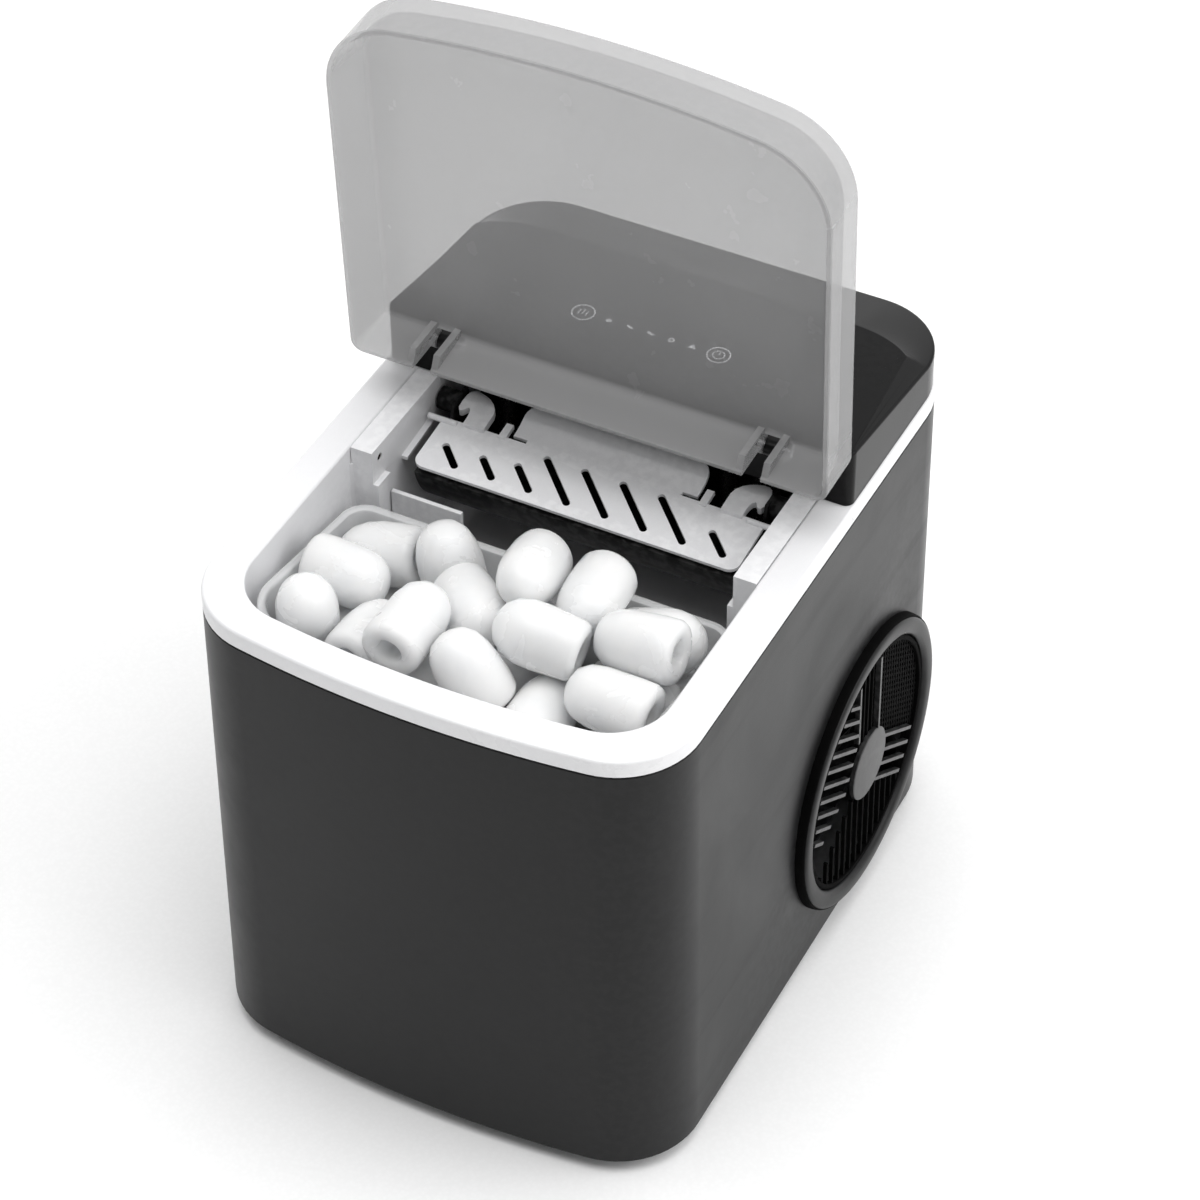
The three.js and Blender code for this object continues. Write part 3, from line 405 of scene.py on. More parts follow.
def build_outer_shell():
    low, high = shell_low.z, shell_high.z
    rings = wall_rings(PLAN, [(DRAFT - SHELL_WALL, low)]
                       + fillet(DRAFT - 0.9, low + 0.9, 0.9, -90, 0)
                       + fillet(-0.5, high - 0.5, 0.5, 0, 90)
                       + [(-SHELL_WALL, high), (-SHELL_WALL, high - 0.8),
                          (DRAFT - SHELL_WALL, low + 0.8)])
    shell = blank("casing_wrap", loft(rings, closed=True))
    panel_low, panel_high = node_box("back_panel")
    edge = 6.0
    opening = bar(panel_low.x + edge, panel_high.x - edge, PLAN["back"] - 15,
                  PLAN["back"] + 10, panel_low.z + edge + 1, panel_high.z - edge - 1)
    side = PLAN["half_width"]
    hole = rod("x", VENT_RADIUS + 0.4, side - 20, side + 20, (0, VENT_CENTRE.y, VENT_CENTRE.z), 96)
    combine(shell, [opening, hole])
    fit_piece(shell, charcoal_paint, "cabinet", ["outer_shell"])


build_outer_shell()


# ---------------------------------------------------------------- back panel
# A pressed steel sheet closing the rear opening, with two ladders of louvres that let the
# warm air out. Painted like the casing, and held from behind its edge by six screws.

panel_low, panel_high = node_box("back_panel")
# Its painted_corner_shade colour is painted shade in inner corners.
panel_paint = finish("panel_paint", (0.009, 0.009, 0.0093), 0.42,
                     tint=(0.0105, 0.0105, 0.0108), worn=(0.0112, 0.0112, 0.0115),
                     painted_corner_shade=(0.0085, 0.0085, 0.0085), grain=1400, grain_height=0.02,
                     settings={"Specular IOR Level": 0.19})


def build_back_panel():
    low, high = panel_low, panel_high
    sheet = blank("louvred_panel", bar(low.x, high.x, low.y, high.y, low.z, high.z))
    slots, hoods = [], []
    for x in (-32, 32):
        for row in range(9):
            z = low.z + 53 + row * 14
            slots.append(bar(x - 20, x + 20, low.y - 2, high.y + 2, z, z + 3.4))
            hood = bmesh.new()
            ends = []
            for side in (x - 21, x + 21):
                inset = 3 if side < x else -3
                ends.append([hood.verts.new(p) for p in (
                    (side, high.y - 0.6, z + 3.2), (side, high.y - 0.6, z + 6.2),
                    (side + inset, high.y + 1.9, z + 2.4), (side + inset, high.y + 1.2, z + 1.6))])
            for i in range(4):
                j = (i + 1) % 4
                hood.faces.new((ends[0][i], ends[0][j], ends[1][j], ends[1][i]))
            hood.faces.new(ends[0][::-1])
            hood.faces.new(ends[1])
            bmesh.ops.recalc_face_normals(hood, faces=hood.faces)
            hoods.append(hood)
    drain_low, drain_high = node_box("drain_plug")
    gland_low, gland_high = node_box("power_gland")
    for a, b, radius in ((drain_low, drain_high, 8.3), (gland_low, gland_high, 7.0)):
        slots.append(rod("y", radius, -5, 5, ((a.x + b.x) / 2, high.y, (a.z + b.z) / 2), 32))
    combine(sheet, slots)
    combine(sheet, hoods, "UNION")
    soften(sheet, 0.35, 2)
    fit_piece(sheet, panel_paint, "cabinet", ["back_panel"])


build_back_panel()


def metal(name, colour, roughness, *, brushed=(1.0, 1.0, 1.0), tarnish=None, scale=1500.0,
          spread=0.14, bump=0.3):
    """Bare or plated metal: fine directional marks, cloudy tarnish, brighter edges and painted shade
    in inner corners.
    """
    material = bpy.data.materials.new(name)
    material.use_nodes = True
    tree = material.node_tree
    shader = tree.nodes["Principled BSDF"]
    shader.inputs["Metallic"].default_value = 1.0
    handling = use_group(tree, HANDLING, Patch_Scale=40.0)
    wear_and_shade = use_group(tree, WEAR_AND_SHADE)
    stretch = tree.nodes.new("ShaderNodeMapping")
    stretch.inputs["Scale"].default_value = brushed
    link(tree, place_coordinates(tree), stretch.inputs["Vector"])
    marks = tree.nodes.new("ShaderNodeTexNoise")
    marks.inputs["Scale"].default_value = scale
    marks.inputs["Detail"].default_value = 3.0
    link(tree, stretch.outputs["Vector"], marks.inputs["Vector"])
    tone = blend_colour(tree, handling.outputs["Patches"], colour,
                        tarnish or tuple(c * 0.72 for c in colour))
    # Painted shade: inner corners darken to half the colour.
    tone = blend_colour(tree, wear_and_shade.outputs["Corner Shade"], tone, tuple(c * 0.5 for c in colour))
    tone = blend_colour(tree, wear_and_shade.outputs["Edges"], tone,
                        tuple(min(1.0, c * 1.3) for c in colour))
    link(tree, tone, shader.inputs["Base Color"])
    link(tree, map_range(tree, marks.outputs["Fac"], 0.3, 0.7, roughness - spread / 2,
                         roughness + spread / 2), shader.inputs["Roughness"])
    raised = tree.nodes.new("ShaderNodeBump")
    raised.inputs["Distance"].default_value = 0.00005
    raised.inputs["Strength"].default_value = bump
    link(tree, marks.outputs["Fac"], raised.inputs["Height"])
    link(tree, raised.outputs["Normal"], shader.inputs["Normal"])
    return material


plated_steel = metal("plated_steel", (0.62, 0.62, 0.64), 0.3)


def cross_recess(x, y, z, depth=1.1, reach=1.9, width=0.62):
    return [bar(x - reach, x + reach, y - depth, y + 2, z - width / 2, z + width / 2),
            bar(x - width / 2, x + width / 2, y - depth, y + 2, z - reach, z + reach)]


def build_panel_screws():
    for side in ("left", "right"):
        for row in (1, 2, 3):
            low, high = node_box(f"back_screw_{side}_{row}")
            x, z, top = (low.x + high.x) / 2, (low.z + high.z) / 2, high.y
            profile = [(0, -9.8), (0.9, -9.2), (1.3, -8), (1.3, -1.75), (3.0, -1.7), (3.2, -1.45),
                       (3.1, -0.85), (2.5, -0.3), (1.4, -0.05), (0, 0)]
            screw = blank(f"panel_screw_{side}_{row}", turned(profile, "y", (x, top, z), 32))
            combine(screw, cross_recess(x, top, z))
            fit_piece(screw, plated_steel, "cabinet", [f"back_screw_{side}_{row}"])


build_panel_screws()


# ---------------------------------------------------------------- base plate and feet
# A zinc-plated sheet closes the bottom and carries the compressor and the fan. Four black
# rubber feet, with a sunk screw hole under each, are pressed into it.

zinc_plate = metal("zinc_plate", (0.45, 0.46, 0.47), 0.42, brushed=(1.0, 0.05, 1.0), scale=900)
rubber = finish("rubber", (0.013, 0.013, 0.013), 0.78, tint=(0.018, 0.018, 0.018),
                worn=(0.05, 0.05, 0.05), grain=700, grain_height=0.03,
                settings={"Specular IOR Level": 0.3})


def refinish(material, *nodes):
    """Gives CAD nodes that keep their own shape a better material."""
    for node in nodes:
        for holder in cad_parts[node].material_slots:
            holder.material = material


refinish(zinc_plate, "base_plate")


def build_feet():
    for node in ("foot_front_left", "foot_front_right", "foot_rear_left", "foot_rear_right"):
        low, high = node_box(node)
        at = ((low.x + high.x) / 2, (low.y + high.y) / 2, 0)
        profile = [(0, 3), (3.5, 3), (3.5, 0.4), (3.9, 0), (7.6, 0), (8.6, 0.3), (9.4, 1.1),
                   (9.7, 2.2), (10.4, 7.2), (10.5, 7.7), (0, 7.7)]
        fit_piece(blank("rubber_" + node, turned(profile, "z", at, 56)), rubber, "cabinet",
                  [node])


build_feet()


# ---------------------------------------------------------------- white rim
# A glossy white moulding caps the casing. It frames the mouth of the ice bin, and hangs a
# short skirt inside it that the bin's wall hides behind.

# Its painted_corner_shade colour is painted shade in inner corners.
white_plastic = finish("white_plastic", (0.83, 0.83, 0.84), 0.3, tint=(0.81, 0.81, 0.825),
                       worn=(0.87, 0.87, 0.88), painted_corner_shade=(0.66, 0.66, 0.67), grain=1600,
                       grain_height=0.006, roughness_spread=0.06,
                       settings={"Specular IOR Level": 0.45})

MOUTH = {"half_width": 96.0, "front": -135.5, "bow": 8.5, "corner": 27.0}
CHEEK = 85.3
CHAMBER_FRONT = -24.5
COVER_FRONT = 35.5
CHAMBER_WALL = 88.0


def mouth_plan(back, corner=1.0):
    return {**MOUTH, "back": back, "back_corner": corner}


def build_rim():
    low, top = rim_low.z, rim_high.z
    deck = top - 8.7
    slab = blank("rim_moulding", loft(wall_rings(
        PLAN, [(-0.5, deck), (0, deck + 0.5)] + fillet(-1.5, top - 1.5, 1.5, 0, 90, 6))))
    mouth = loft(wall_rings(mouth_plan(COVER_FRONT), [
        (0, low - 5), (0, top - 1.2), (0.16, top - 0.6), (0.6, top - 0.16), (1.2, top),
        (1.3, top + 3)]))
    window = bar(-CHAMBER_WALL, CHAMBER_WALL, 20, 108, deck - 3, top + 3)
    combine(slab, [mouth, window])
    skirt = blank("skirt", loft(wall_rings(mouth_plan(0), [
        (0, low + 0.5), (0.5, low), (1.5, low), (2, low + 0.5), (2, deck + 2), (0, deck + 2)]),
        closed=True))
    combine(skirt, [bar(-130, 130, CHAMBER_FRONT - 0.3, 60, low - 5, top + 5)])
    step = slab.modifiers.new("join", "BOOLEAN")
    step.operation = "UNION"
    step.solver = "EXACT"
    step.object = skirt
    settle(slab)
    bpy.data.objects.remove(skirt)
    fit_piece(slab, white_plastic, "cabinet", ["rim_frame"])


build_rim()


# ---------------------------------------------------------------- inner tank
# One white tub: a deep well in front holds the melt water under the basket, and a shallow
# shelf behind it lies under the tilting tray. Two ledges in the well carry the basket.

tank_low, tank_high = node_box("inner_tank")
pump_low, pump_high = node_box("water_pump")
TRAY_AXIS = (35.0, 237.0)


def build_inner_tank():
    wall, floor, top, back = 2.3, tank_low.z + 2.3, tank_high.z, -22.0
    shelf = 170.3
    inside = 2.3
    tub = blank("water_tub", loft(wall_rings(mouth_plan(back - inside, 8.0), [
        (inside, floor - wall), (inside + wall, floor), (inside + wall, top)])))
    rear = bar(-CHAMBER_WALL - wall, CHAMBER_WALL + wall, back, tank_high.y, shelf - wall, top)
    combine(tub, [rear], "UNION")
    well = loft(wall_rings(mouth_plan(back - inside, 8.0), [
        (inside - 4, floor), (inside - 1.2, floor + 1.2), (inside, floor + 4),
        (inside, top + 2)]))
    shelf_space = bar(-CHAMBER_WALL, CHAMBER_WALL, back - wall - 2, tank_high.y - wall, shelf,
                      top + 2)
    combine(tub, [well, shelf_space])
    ledges = [bar(min(s * 84.5, s * 99), max(s * 84.5, s * 99), -105, -42, 113, 119.5)
              for s in (-1, 1)]
    combine(tub, ledges, "UNION")
    holes = [rod("x", 3.6, s * 92 - 6, s * 92 + 6, (0, *TRAY_AXIS), 32) for s in (-1, 1)]
    holes.append(rod("y", 3, back - 3, back + 5, ((pump_low.x + pump_high.x) / 2, 0, 50), 24))
    combine(tub, holes)
    fit_piece(tub, white_plastic, "cabinet", ["inner_tank"])


build_inner_tank()


# ---------------------------------------------------------------- cheeks and ice sensor
# Two white side plates narrow the bin behind the basket and carry the tray's pivots. Each
# has a slide rail for the shovel and, near its front, the dark eye of the full-bin sensor.

dark_lens = finish("dark_lens", (0.02, 0.008, 0.009), 0.12, grain=300, grain_height=0.002,
                   settings={"Coat Weight": 0.6})


def build_cheeks():
    sensor_y, sensor_z = -17.9, 242.6
    top, bottom = rim_high.z, 200.0
    for side, sign in (("right", 1), ("left", -1)):
        def span(a, b, *rest):
            return bar(min(sign * a, sign * b), max(sign * a, sign * b), *rest)

        def wedge(points, a, b):
            bm = bmesh.new()
            rows = [[bm.verts.new((sign * x, y, z)) for y, z in points] for x in (a, b)]
            for i in range(len(points)):
                j = (i + 1) % len(points)
                bm.faces.new((rows[0][i], rows[0][j], rows[1][j], rows[1][i]))
            bm.faces.new(rows[0][::-1])
            bm.faces.new(rows[1])
            bmesh.ops.recalc_face_normals(bm, faces=bm.faces)
            return bm

        outer = MOUTH["half_width"] - 0.3
        cheek = blank(side + "_cheek_plate", span(CHEEK, CHEEK + 2.4, CHAMBER_FRONT, 62,
                                                  bottom, top - 2.4))
        combine(cheek, [
            span(CHEEK, outer, CHAMBER_FRONT, CHAMBER_FRONT + 2.2, bottom, top),
            span(CHEEK, outer, CHAMBER_FRONT, COVER_FRONT - 0.3, top - 2.4, top),
            wedge([(0, 228.1), (27, 231.5), (27, 233.2), (0, 229.8)], CHEEK - 2.8, CHEEK + 0.5),
            wedge([(-24.5, 214), (-14, 232), (-24.5, 232)], CHEEK - 2.5, CHEEK + 0.5)], "UNION")
        soften(cheek, 0.5, 3)
        at = (0, sensor_y, sensor_z)
        combine(cheek, [rod("x", 2.0, sign * CHEEK - 5, sign * CHEEK + 5, at, 32),
                        rod("x", 3.6, sign * CHEEK - 5, sign * CHEEK + 5, (0, *TRAY_AXIS), 32)])
        fit_piece(cheek, white_plastic, "cabinet", [side + "_cheek"])

        eye = turned([(0, 0.5), (1.5, 0.5), (1.8, 0.9), (1.8, 5.2), (0, 5.2)], "x", at, 32)
        eye.transform(Matrix.Translation((CHEEK, 0, 0)))
        if sign < 0:
            eye.transform(Matrix.Diagonal((-1, 1, 1, 1)))
            bmesh.ops.recalc_face_normals(eye, faces=eye.faces)
        fit_piece(combine(blank(side + "_sensor_eye", eye), [
            span(CHEEK + 2.7, CHEEK + 7, sensor_y - 3, sensor_y + 3, 240.5, sensor_z + 3.5)],
            "UNION"), dark_lens, "cabinet", ["ice_sensor_" + side])


build_cheeks()


def build_splash_guard():
    low, high = node_box("splash_guard")
    guard = blank("splash_plate", bar(low.x, high.x, low.y, low.y + 2.2, low.z, high.z))
    combine(guard, [bar(low.x, high.x, low.y, high.y, low.z, low.z + 2.7)], "UNION")
    soften(guard, 0.5, 3)
    fit_piece(guard, white_plastic, "cabinet", ["splash_guard"])


build_splash_guard()


# ---------------------------------------------------------------- rear cover
# A glossy black lid fixed over the machine space. Its top is flat, and behind a curved
# crease it falls away to the rounded rear corners. The touch keys and signs are printed.

# Its painted_corner_shade colour is painted shade in inner corners.
gloss_black = finish("gloss_black", (0.006, 0.006, 0.0062), 0.2, tint=(0.007, 0.007, 0.0072),
                     worn=(0.011, 0.011, 0.011), painted_corner_shade=(0.0065, 0.0065, 0.0065), grain=2200,
                     grain_height=0.002, roughness_spread=0.07,
                     settings={"Specular IOR Level": 0.11})
cover_low, cover_high = node_box("rear_cover")
COVER = {"half_width": cover_high.x, "front": -cover_high.y, "back": -cover_low.y, "bow": 0.0,
         "corner": 35.5, "back_corner": 4.0}


def ease(t):
    t = min(max(t, 0.0), 1.0)
    return t * t * (3 - 2 * t)


def cover_loop(grow):
    """The cover's plan is the machine's turned end for end: its square side is in front."""
    return [(-x, -y) for x, y in plan_outline(**COVER, grow=grow, arc_steps=20)]


def cover_rings(inset):
    top = cover_high.z - inset
    drop = 10.5
    rim = cover_loop(-inset)

    def edge_height(y):
        return top - drop * ease((y - 91.5) / 24)

    def crease(x, y):
        """The point of the crease that belongs to a point on the edge."""
        if y <= 91.5:
            return x, y
        if abs(x) > 75.3:
            share = min(1.0, (y - 91.5) / (cover_high.y - inset - 91.5))
            turn = math.radians(90) * share
            reach = cover_high.x - inset - 75.3
            return (math.copysign(75.3 + reach * math.cos(turn), x), 91.5 + 23 * math.sin(turn))
        return x, 114.5

    def between(share, lift=0.0):
        ring = []
        for x, y in rim:
            cx, cy = crease(x, y)
            length = max(math.hypot(x, y - 70), 1)
            ex, ey = x * (1 - 1.3 / length), 70 + (y - 70) * (1 - 1.3 / length)
            if y <= 91.5 + 1e-6:
                cx, cy = x * (1 - 2.4 / length), 70 + (y - 70) * (1 - 2.4 / length)
            z = edge_height(y)
            ring.append((ex + (cx - ex) * share, ey + (cy - ey) * share,
                         z + (top - z) * share + lift))
        return ring

    rings = [[(x, y, cover_low.z - (1 if inset else 0)) for x, y in rim]]
    for x_in, z_in in ((0.0, 1.3), (0.1, 0.8), (0.38, 0.38), (0.8, 0.1)):
        loop = cover_loop(-inset - x_in)
        rings.append([(x, y, edge_height(ry) - z_in) for (x, y), (_, ry) in zip(loop, rim)])
    rings += [between(0.0), between(0.5), between(0.97), between(1.0)]
    return rings


def build_rear_cover():
    cover = blank("machine_cover", loft(cover_rings(0.0)))
    combine(cover, [loft(cover_rings(2.5))])
    fit_piece(cover, gloss_black, "cabinet", ["rear_cover"])


build_rear_cover()

print_ink = finish("print_ink", (0.62, 0.62, 0.63), 0.4, grain=1500, grain_height=0.004)


def build_signs():
    """The ring of each touch key and the small signs between them, as raised ink."""
    key_x, sign_y, top = 32.4, 69.8, cover_high.z
    thick = 0.16

    def put(name, *parts):
        obj = blank(name, parts[0])
        if len(parts) > 1:
            combine(obj, parts[1:], "UNION")
        fit_piece(obj, print_ink, "cabinet")

    def ring(x, outer, inner):
        return turned([(inner, 0), (outer, 0), (outer, thick), (inner, thick)], "z",
                      (x, sign_y, top), 48)

    def dash(x, y, length, width, turn=0.0):
        bm = bar(-length / 2, length / 2, -width / 2, width / 2, 0, thick)
        bm.transform(Matrix.Translation((x, sign_y + y, top))
                     @ Matrix.Rotation(math.radians(turn), 4, "Z"))
        return bm

    put("key_ring_left", ring(-key_x, 5.4, 4.7))
    put("key_ring_right", ring(key_x, 5.4, 4.7))
    put("key_sign_left", dash(-key_x - 1.8, 0, 3.6, 0.6, 90), dash(-key_x, 0.6, 3.6, 0.6, 90),
        dash(-key_x + 1.8, 0, 3.6, 0.6, 90))
    put("key_sign_right_stem", dash(key_x, 1.6, 3.2, 0.6, 90))
    put("key_sign_right_arc", ring(key_x, 2.9, 2.3))
    put("sign_dot", rod("z", 1.3, 0, thick, (-20, sign_y, top), 32))
    put("sign_small_ice", dash(-10, 0, 3.2, 1.1, -20))
    put("sign_large_ice", dash(0, 0, 3.6, 1.5, -20))
    put("sign_water", ring(10, 1.5, 0.8))
    bm = bmesh.new()
    rows = [[bm.verts.new((20 + dx, sign_y + dy, top + z)) for dx, dy in
             ((-2, -1.2), (2, -1.2), (0, 1.9))] for z in (0, thick)]
    for i in range(3):
        bm.faces.new((rows[0][i], rows[0][(i + 1) % 3], rows[1][(i + 1) % 3], rows[1][i]))
    bm.faces.new(rows[0][::-1])
    bm.faces.new(rows[1])
    bmesh.ops.recalc_face_normals(bm, faces=bm.faces)
    put("sign_full", bm)


build_signs()

solder_mask = finish("solder_mask", (0.02, 0.10, 0.045), 0.38, tint=(0.028, 0.12, 0.05),
                     worn=(0.45, 0.36, 0.14), grain=420, grain_height=0.02)
refinish(solder_mask, "control_board", "power_board")


# ---------------------------------------------------------------- hinges
# Two black knuckles stand out from the cover's front wall. A steel pin with a round head
# runs through each, and through the lid's ears on both sides of it.

HINGE = Vector((0.0, 30.5, 273.5))
KNUCKLE_X = 77.5


def build_hinges():
    for side in ("left", "right"):
        low, high = node_box("hinge_knuckle_" + side)
        at = ((low.x + high.x) / 2, HINGE.y, HINGE.z)
        half = (high.x - low.x) / 2
        knuckle = blank("cover_knuckle_" + side, rod("x", 4, -half, half, at, 48))
        combine(knuckle, [bar(low.x, high.x, HINGE.y, high.y, HINGE.z - 4, HINGE.z + 4)],
                "UNION")
        soften(knuckle, 0.4, 2)
        combine(knuckle, [rod("x", 1.8, -20, 20, at, 32)])
        fit_piece(knuckle, gloss_black, "cabinet", ["hinge_knuckle_" + side])
        reach = half + 4
        pin = turned([(0, -reach), (1.3, -reach), (1.5, -reach + 0.3), (1.5, reach + 0.3),
                      (1.9, reach + 0.3), (1.9, reach + 0.8), (1.5, reach + 1.2),
                      (0, reach + 1.3)], "x", at, 32)
        fit_piece(blank("pin_" + side, pin), plated_steel, "cabinet", ["hinge_pin_" + side])


build_hinges()


# ---------------------------------------------------------------- lid
# A shallow pan of smoky see-through plastic. Its crown has a small round edge, its inner
# wall slopes, and pairs of ears stand either side of the notches for the hinges.

def see_through(name, colour, alpha, roughness, **settings):
    """A clear or smoky moulding, shown by how much of the light it stops."""
    material = bpy.data.materials.new(name)
    material.use_nodes = True
    tree = material.node_tree
    shader = tree.nodes["Principled BSDF"]
    handling = use_group(tree, HANDLING, Patch_Scale=9.0, Streak_Scale=60.0)
    wear_and_shade = use_group(tree, WEAR_AND_SHADE)
    tone = blend_colour(tree, handling.outputs["Patches"], colour,
                        tuple(c * 0.97 for c in colour))
    rubbed = map_range(tree, wear_and_shade.outputs["Edges"], 0.0, 1.0, 0.0, 0.12)
    tone = blend_colour(tree, rubbed, tone, tuple(min(1.0, c * 1.3) for c in colour))
    link(tree, tone, shader.inputs["Base Color"])
    link(tree, map_range(tree, rubbed, 0.0, 1.0, alpha, min(1.0, alpha + 0.2)),
         shader.inputs["Alpha"])
    link(tree, map_range(tree, handling.outputs["Streaks"], 0.0, 1.0, roughness,
                         roughness + 0.1), shader.inputs["Roughness"])
    bump = tree.nodes.new("ShaderNodeBump")
    bump.inputs["Distance"].default_value = 0.0002
    bump.inputs["Strength"].default_value = 0.08
    link(tree, handling.outputs["Patches"], bump.inputs["Height"])
    link(tree, bump.outputs["Normal"], shader.inputs["Normal"])
    for label, value in settings.items():
        shader.inputs[label.replace("_", " ")].default_value = value
    return material


smoky_plastic = see_through("smoky_plastic", (0.40, 0.40, 0.402), 0.516, 0.2,
                            Specular_IOR_Level=0.35)

LID_OPEN = math.radians(-87.3)


def build_lid():
    top, low, wall, edge = 2.5, -23.5, 2.4, 2.5
    plan = {"half_width": 112.0, "front": -186.0, "back": -2.0, "bow": 11.4, "corner": 37.0,
            "back_corner": 6.0}
    levels = [(-wall - 4.4, top - 3.0), (-wall - 3.2, top - 3.5), (-wall - 2.4, top - 4.6),
              (-wall, low + 0.5), (-wall + 0.4, low)]
    levels += [(-0.4, low), (0, low + 0.5)] + fillet(-edge, top - edge, edge, 0, 90, 6)
    lid = blank("smoky_lid", loft(wall_rings(plan, levels)))
    ears, notches, bores = [], [], []
    for sign in (-1, 1):
        middle = sign * KNUCKLE_X
        half = 4.3
        for edge_side in (-1, 1):
            near = middle + edge_side * half
            far = near + edge_side * 3
            x0, x1 = min(near, far), max(near, far)
            ears.append(rod("x", 4, x0, x1, (0, 0, 0), 40))
            ears.append(bar(x0, x1, -4, 0, -4, top - 0.2))
            gusset = bmesh.new()
            rows = [[gusset.verts.new((x, y, z)) for y, z in
                     ((-4, low + 1), (-10, low + 4), (-10, 0), (-4, 0))] for x in (x0, x1)]
            for i in range(4):
                gusset.faces.new((rows[0][i], rows[0][(i + 1) % 4], rows[1][(i + 1) % 4],
                                  rows[1][i]))
            gusset.faces.new(rows[0][::-1])
            gusset.faces.new(rows[1])
            bmesh.ops.recalc_face_normals(gusset, faces=gusset.faces)
            ears.append(gusset)
        notches.append(bar(middle - half, middle + half, -7.5, 5, low - 2, top + 2))
        bores.append(rod("x", 1.8, -20, 20, (middle, 0, 0), 24))
    combine(lid, ears, "UNION")
    combine(lid, notches + bores)
    standing_open = Matrix.Translation(HINGE * MM) @ Matrix.Rotation(LID_OPEN, 4, "X")
    lid.data.transform(standing_open)
    fit_piece(lid, smoky_plastic, "lid", ["lid"])


build_lid()


# ---------------------------------------------------------------- ice basket
# A lift-out tub of clear plastic with a round white-looking lip, lower along the back. It
# tapers down to a floor with drain slots, and stands on the tank's ledges.

clear_plastic = see_through("clear_plastic", (0.92, 0.925, 0.93), 0.4, 0.12,
                            Specular_IOR_Level=0.5)
basket_low, basket_high = node_box("ice_basket")
BASKET = {"half_width": basket_high.x, "front": basket_low.y, "back": -30.5, "bow": 8.5,
          "corner": 22.0, "back_corner": 12.0}


def build_basket():
    floor, top, wall, taper = basket_low.z, basket_high.z, 2.0, 5.0

    def ring(grow, z):
        """A ring of the wall; near the top it dips by the step down to the back rim."""
        share = min(max((z - floor - 60) / (top - floor - 60), 0.0), 1.0)
        return [(x, y, z - 10 * share * ease((y + 62) / 20))
                for x, y in plan_outline(**BASKET, grow=grow)]

    def wall_grow(z):
        return -taper + (taper - 1.6) * (z - floor) / (top - floor)

    inner = [ring(wall_grow(floor) - wall - 3, floor + wall),
             ring(wall_grow(floor) - wall - 0.9, floor + wall + 0.9)]
    for i in range(9):
        z = floor + wall + 3 + (top - 3 - floor - wall - 3) * i / 8
        inner.append(ring(wall_grow(z) - wall, z))
    lip = [ring(-1.6 - wall + 0.1, top - 1.0), ring(-1.6 - wall + 0.8, top - 0.2),
           ring(-2.0, top), ring(-0.9, top), ring(-0.3, top - 0.4), ring(0, top - 1.1),
           ring(0, top - 3.2), ring(-0.4, top - 3.8), ring(-1.75, top - 4.0)]
    outer = []
    for i in range(9):
        z = top - 4.6 - (top - 4.6 - floor - 3) * i / 8
        outer.append(ring(wall_grow(z), z))
    outer += [ring(wall_grow(floor) - 0.9, floor + 0.9), ring(wall_grow(floor) - 3, floor)]
    basket = blank("clear_basket", loft(inner + lip + outer))
    combine(basket, [bar(c * 22 - 2, c * 22 + 2, -110, -50, floor - 2, floor + wall + 2)
                     for c in range(-3, 4)])
    fit_piece(basket, clear_plastic, "basket", ["ice_basket"])


build_basket()


# ---------------------------------------------------------------- ice bullets
# Bullets of milky ice, frozen round the cold fingers, so each has a domed end and a deep
# hole in the other. They have dropped into the basket and lie as they fell.

ice = bpy.data.materials.new("milky_ice")


def build_ice_material():
    ice.use_nodes = True
    tree = ice.node_tree
    shader = tree.nodes["Principled BSDF"]
    here = place_coordinates(tree)
    clouds = tree.nodes.new("ShaderNodeTexNoise")
    clouds.inputs["Scale"].default_value = 55.0
    clouds.inputs["Detail"].default_value = 4.0
    link(tree, here, clouds.inputs["Vector"])
    handling = use_group(tree, HANDLING, Patch_Scale=35.0, Streak_Scale=120.0)
    tone = blend_colour(tree, map_range(tree, clouds.outputs["Fac"], 0.35, 0.7),
                        (0.87, 0.88, 0.89), (0.94, 0.945, 0.95))
    link(tree, tone, shader.inputs["Base Color"])
    link(tree, map_range(tree, handling.outputs["Patches"], 0.0, 1.0, 0.12, 0.34),
         shader.inputs["Roughness"])
    melt = tree.nodes.new("ShaderNodeBump")
    melt.inputs["Distance"].default_value = 0.0008
    melt.inputs["Strength"].default_value = 0.35
    link(tree, clouds.outputs["Fac"], melt.inputs["Height"])
    link(tree, melt.outputs["Normal"], shader.inputs["Normal"])
    shader.inputs["Subsurface Weight"].default_value = 1.0
    shader.inputs["Subsurface Radius"].default_value = (1.0, 1.02, 1.05)
    shader.inputs["Subsurface Scale"].default_value = 0.016
    shader.inputs["Transmission Weight"].default_value = 0.1
    shader.inputs["IOR"].default_value = 1.31


build_ice_material()

BULLET = [(0, 13.0), (3.0, 13.6), (4.5, 16.0), (5.0, 24.0), (5.5, 36.6), (6.4, 38.0),
          (9.4, 38.4), (12.0, 37.6), (13.2, 35.4), (13.6, 29.0), (13.7, 20.0), (13.2, 13.0),
          (11.6, 7.0), (8.6, 2.7), (4.6, 0.5), (0, 0)]


def make_bullet(name, seed):
    """One bullet about its own middle, a little lumpy from melting."""
    chance = random.Random(seed)
    bm = turned(BULLET, "z", (0, 0, -19), 32)
    swell = [chance.uniform(-0.035, 0.035) for _ in range(4)]
    lean = chance.uniform(0, math.tau)
    length = chance.uniform(0.93, 1.04)
    for vert in bm.verts:
        turn = math.atan2(vert.co.y, vert.co.x)
        lump = 1 + swell[0] * math.sin(turn + lean) + swell[1] * math.sin(2 * turn)
        lump += swell[2] * math.sin(vert.co.z * 0.16 + lean) + swell[3] * 0.5
        vert.co.x *= lump
        vert.co.y *= lump
        vert.co.z *= length
    return blank(name, bm)


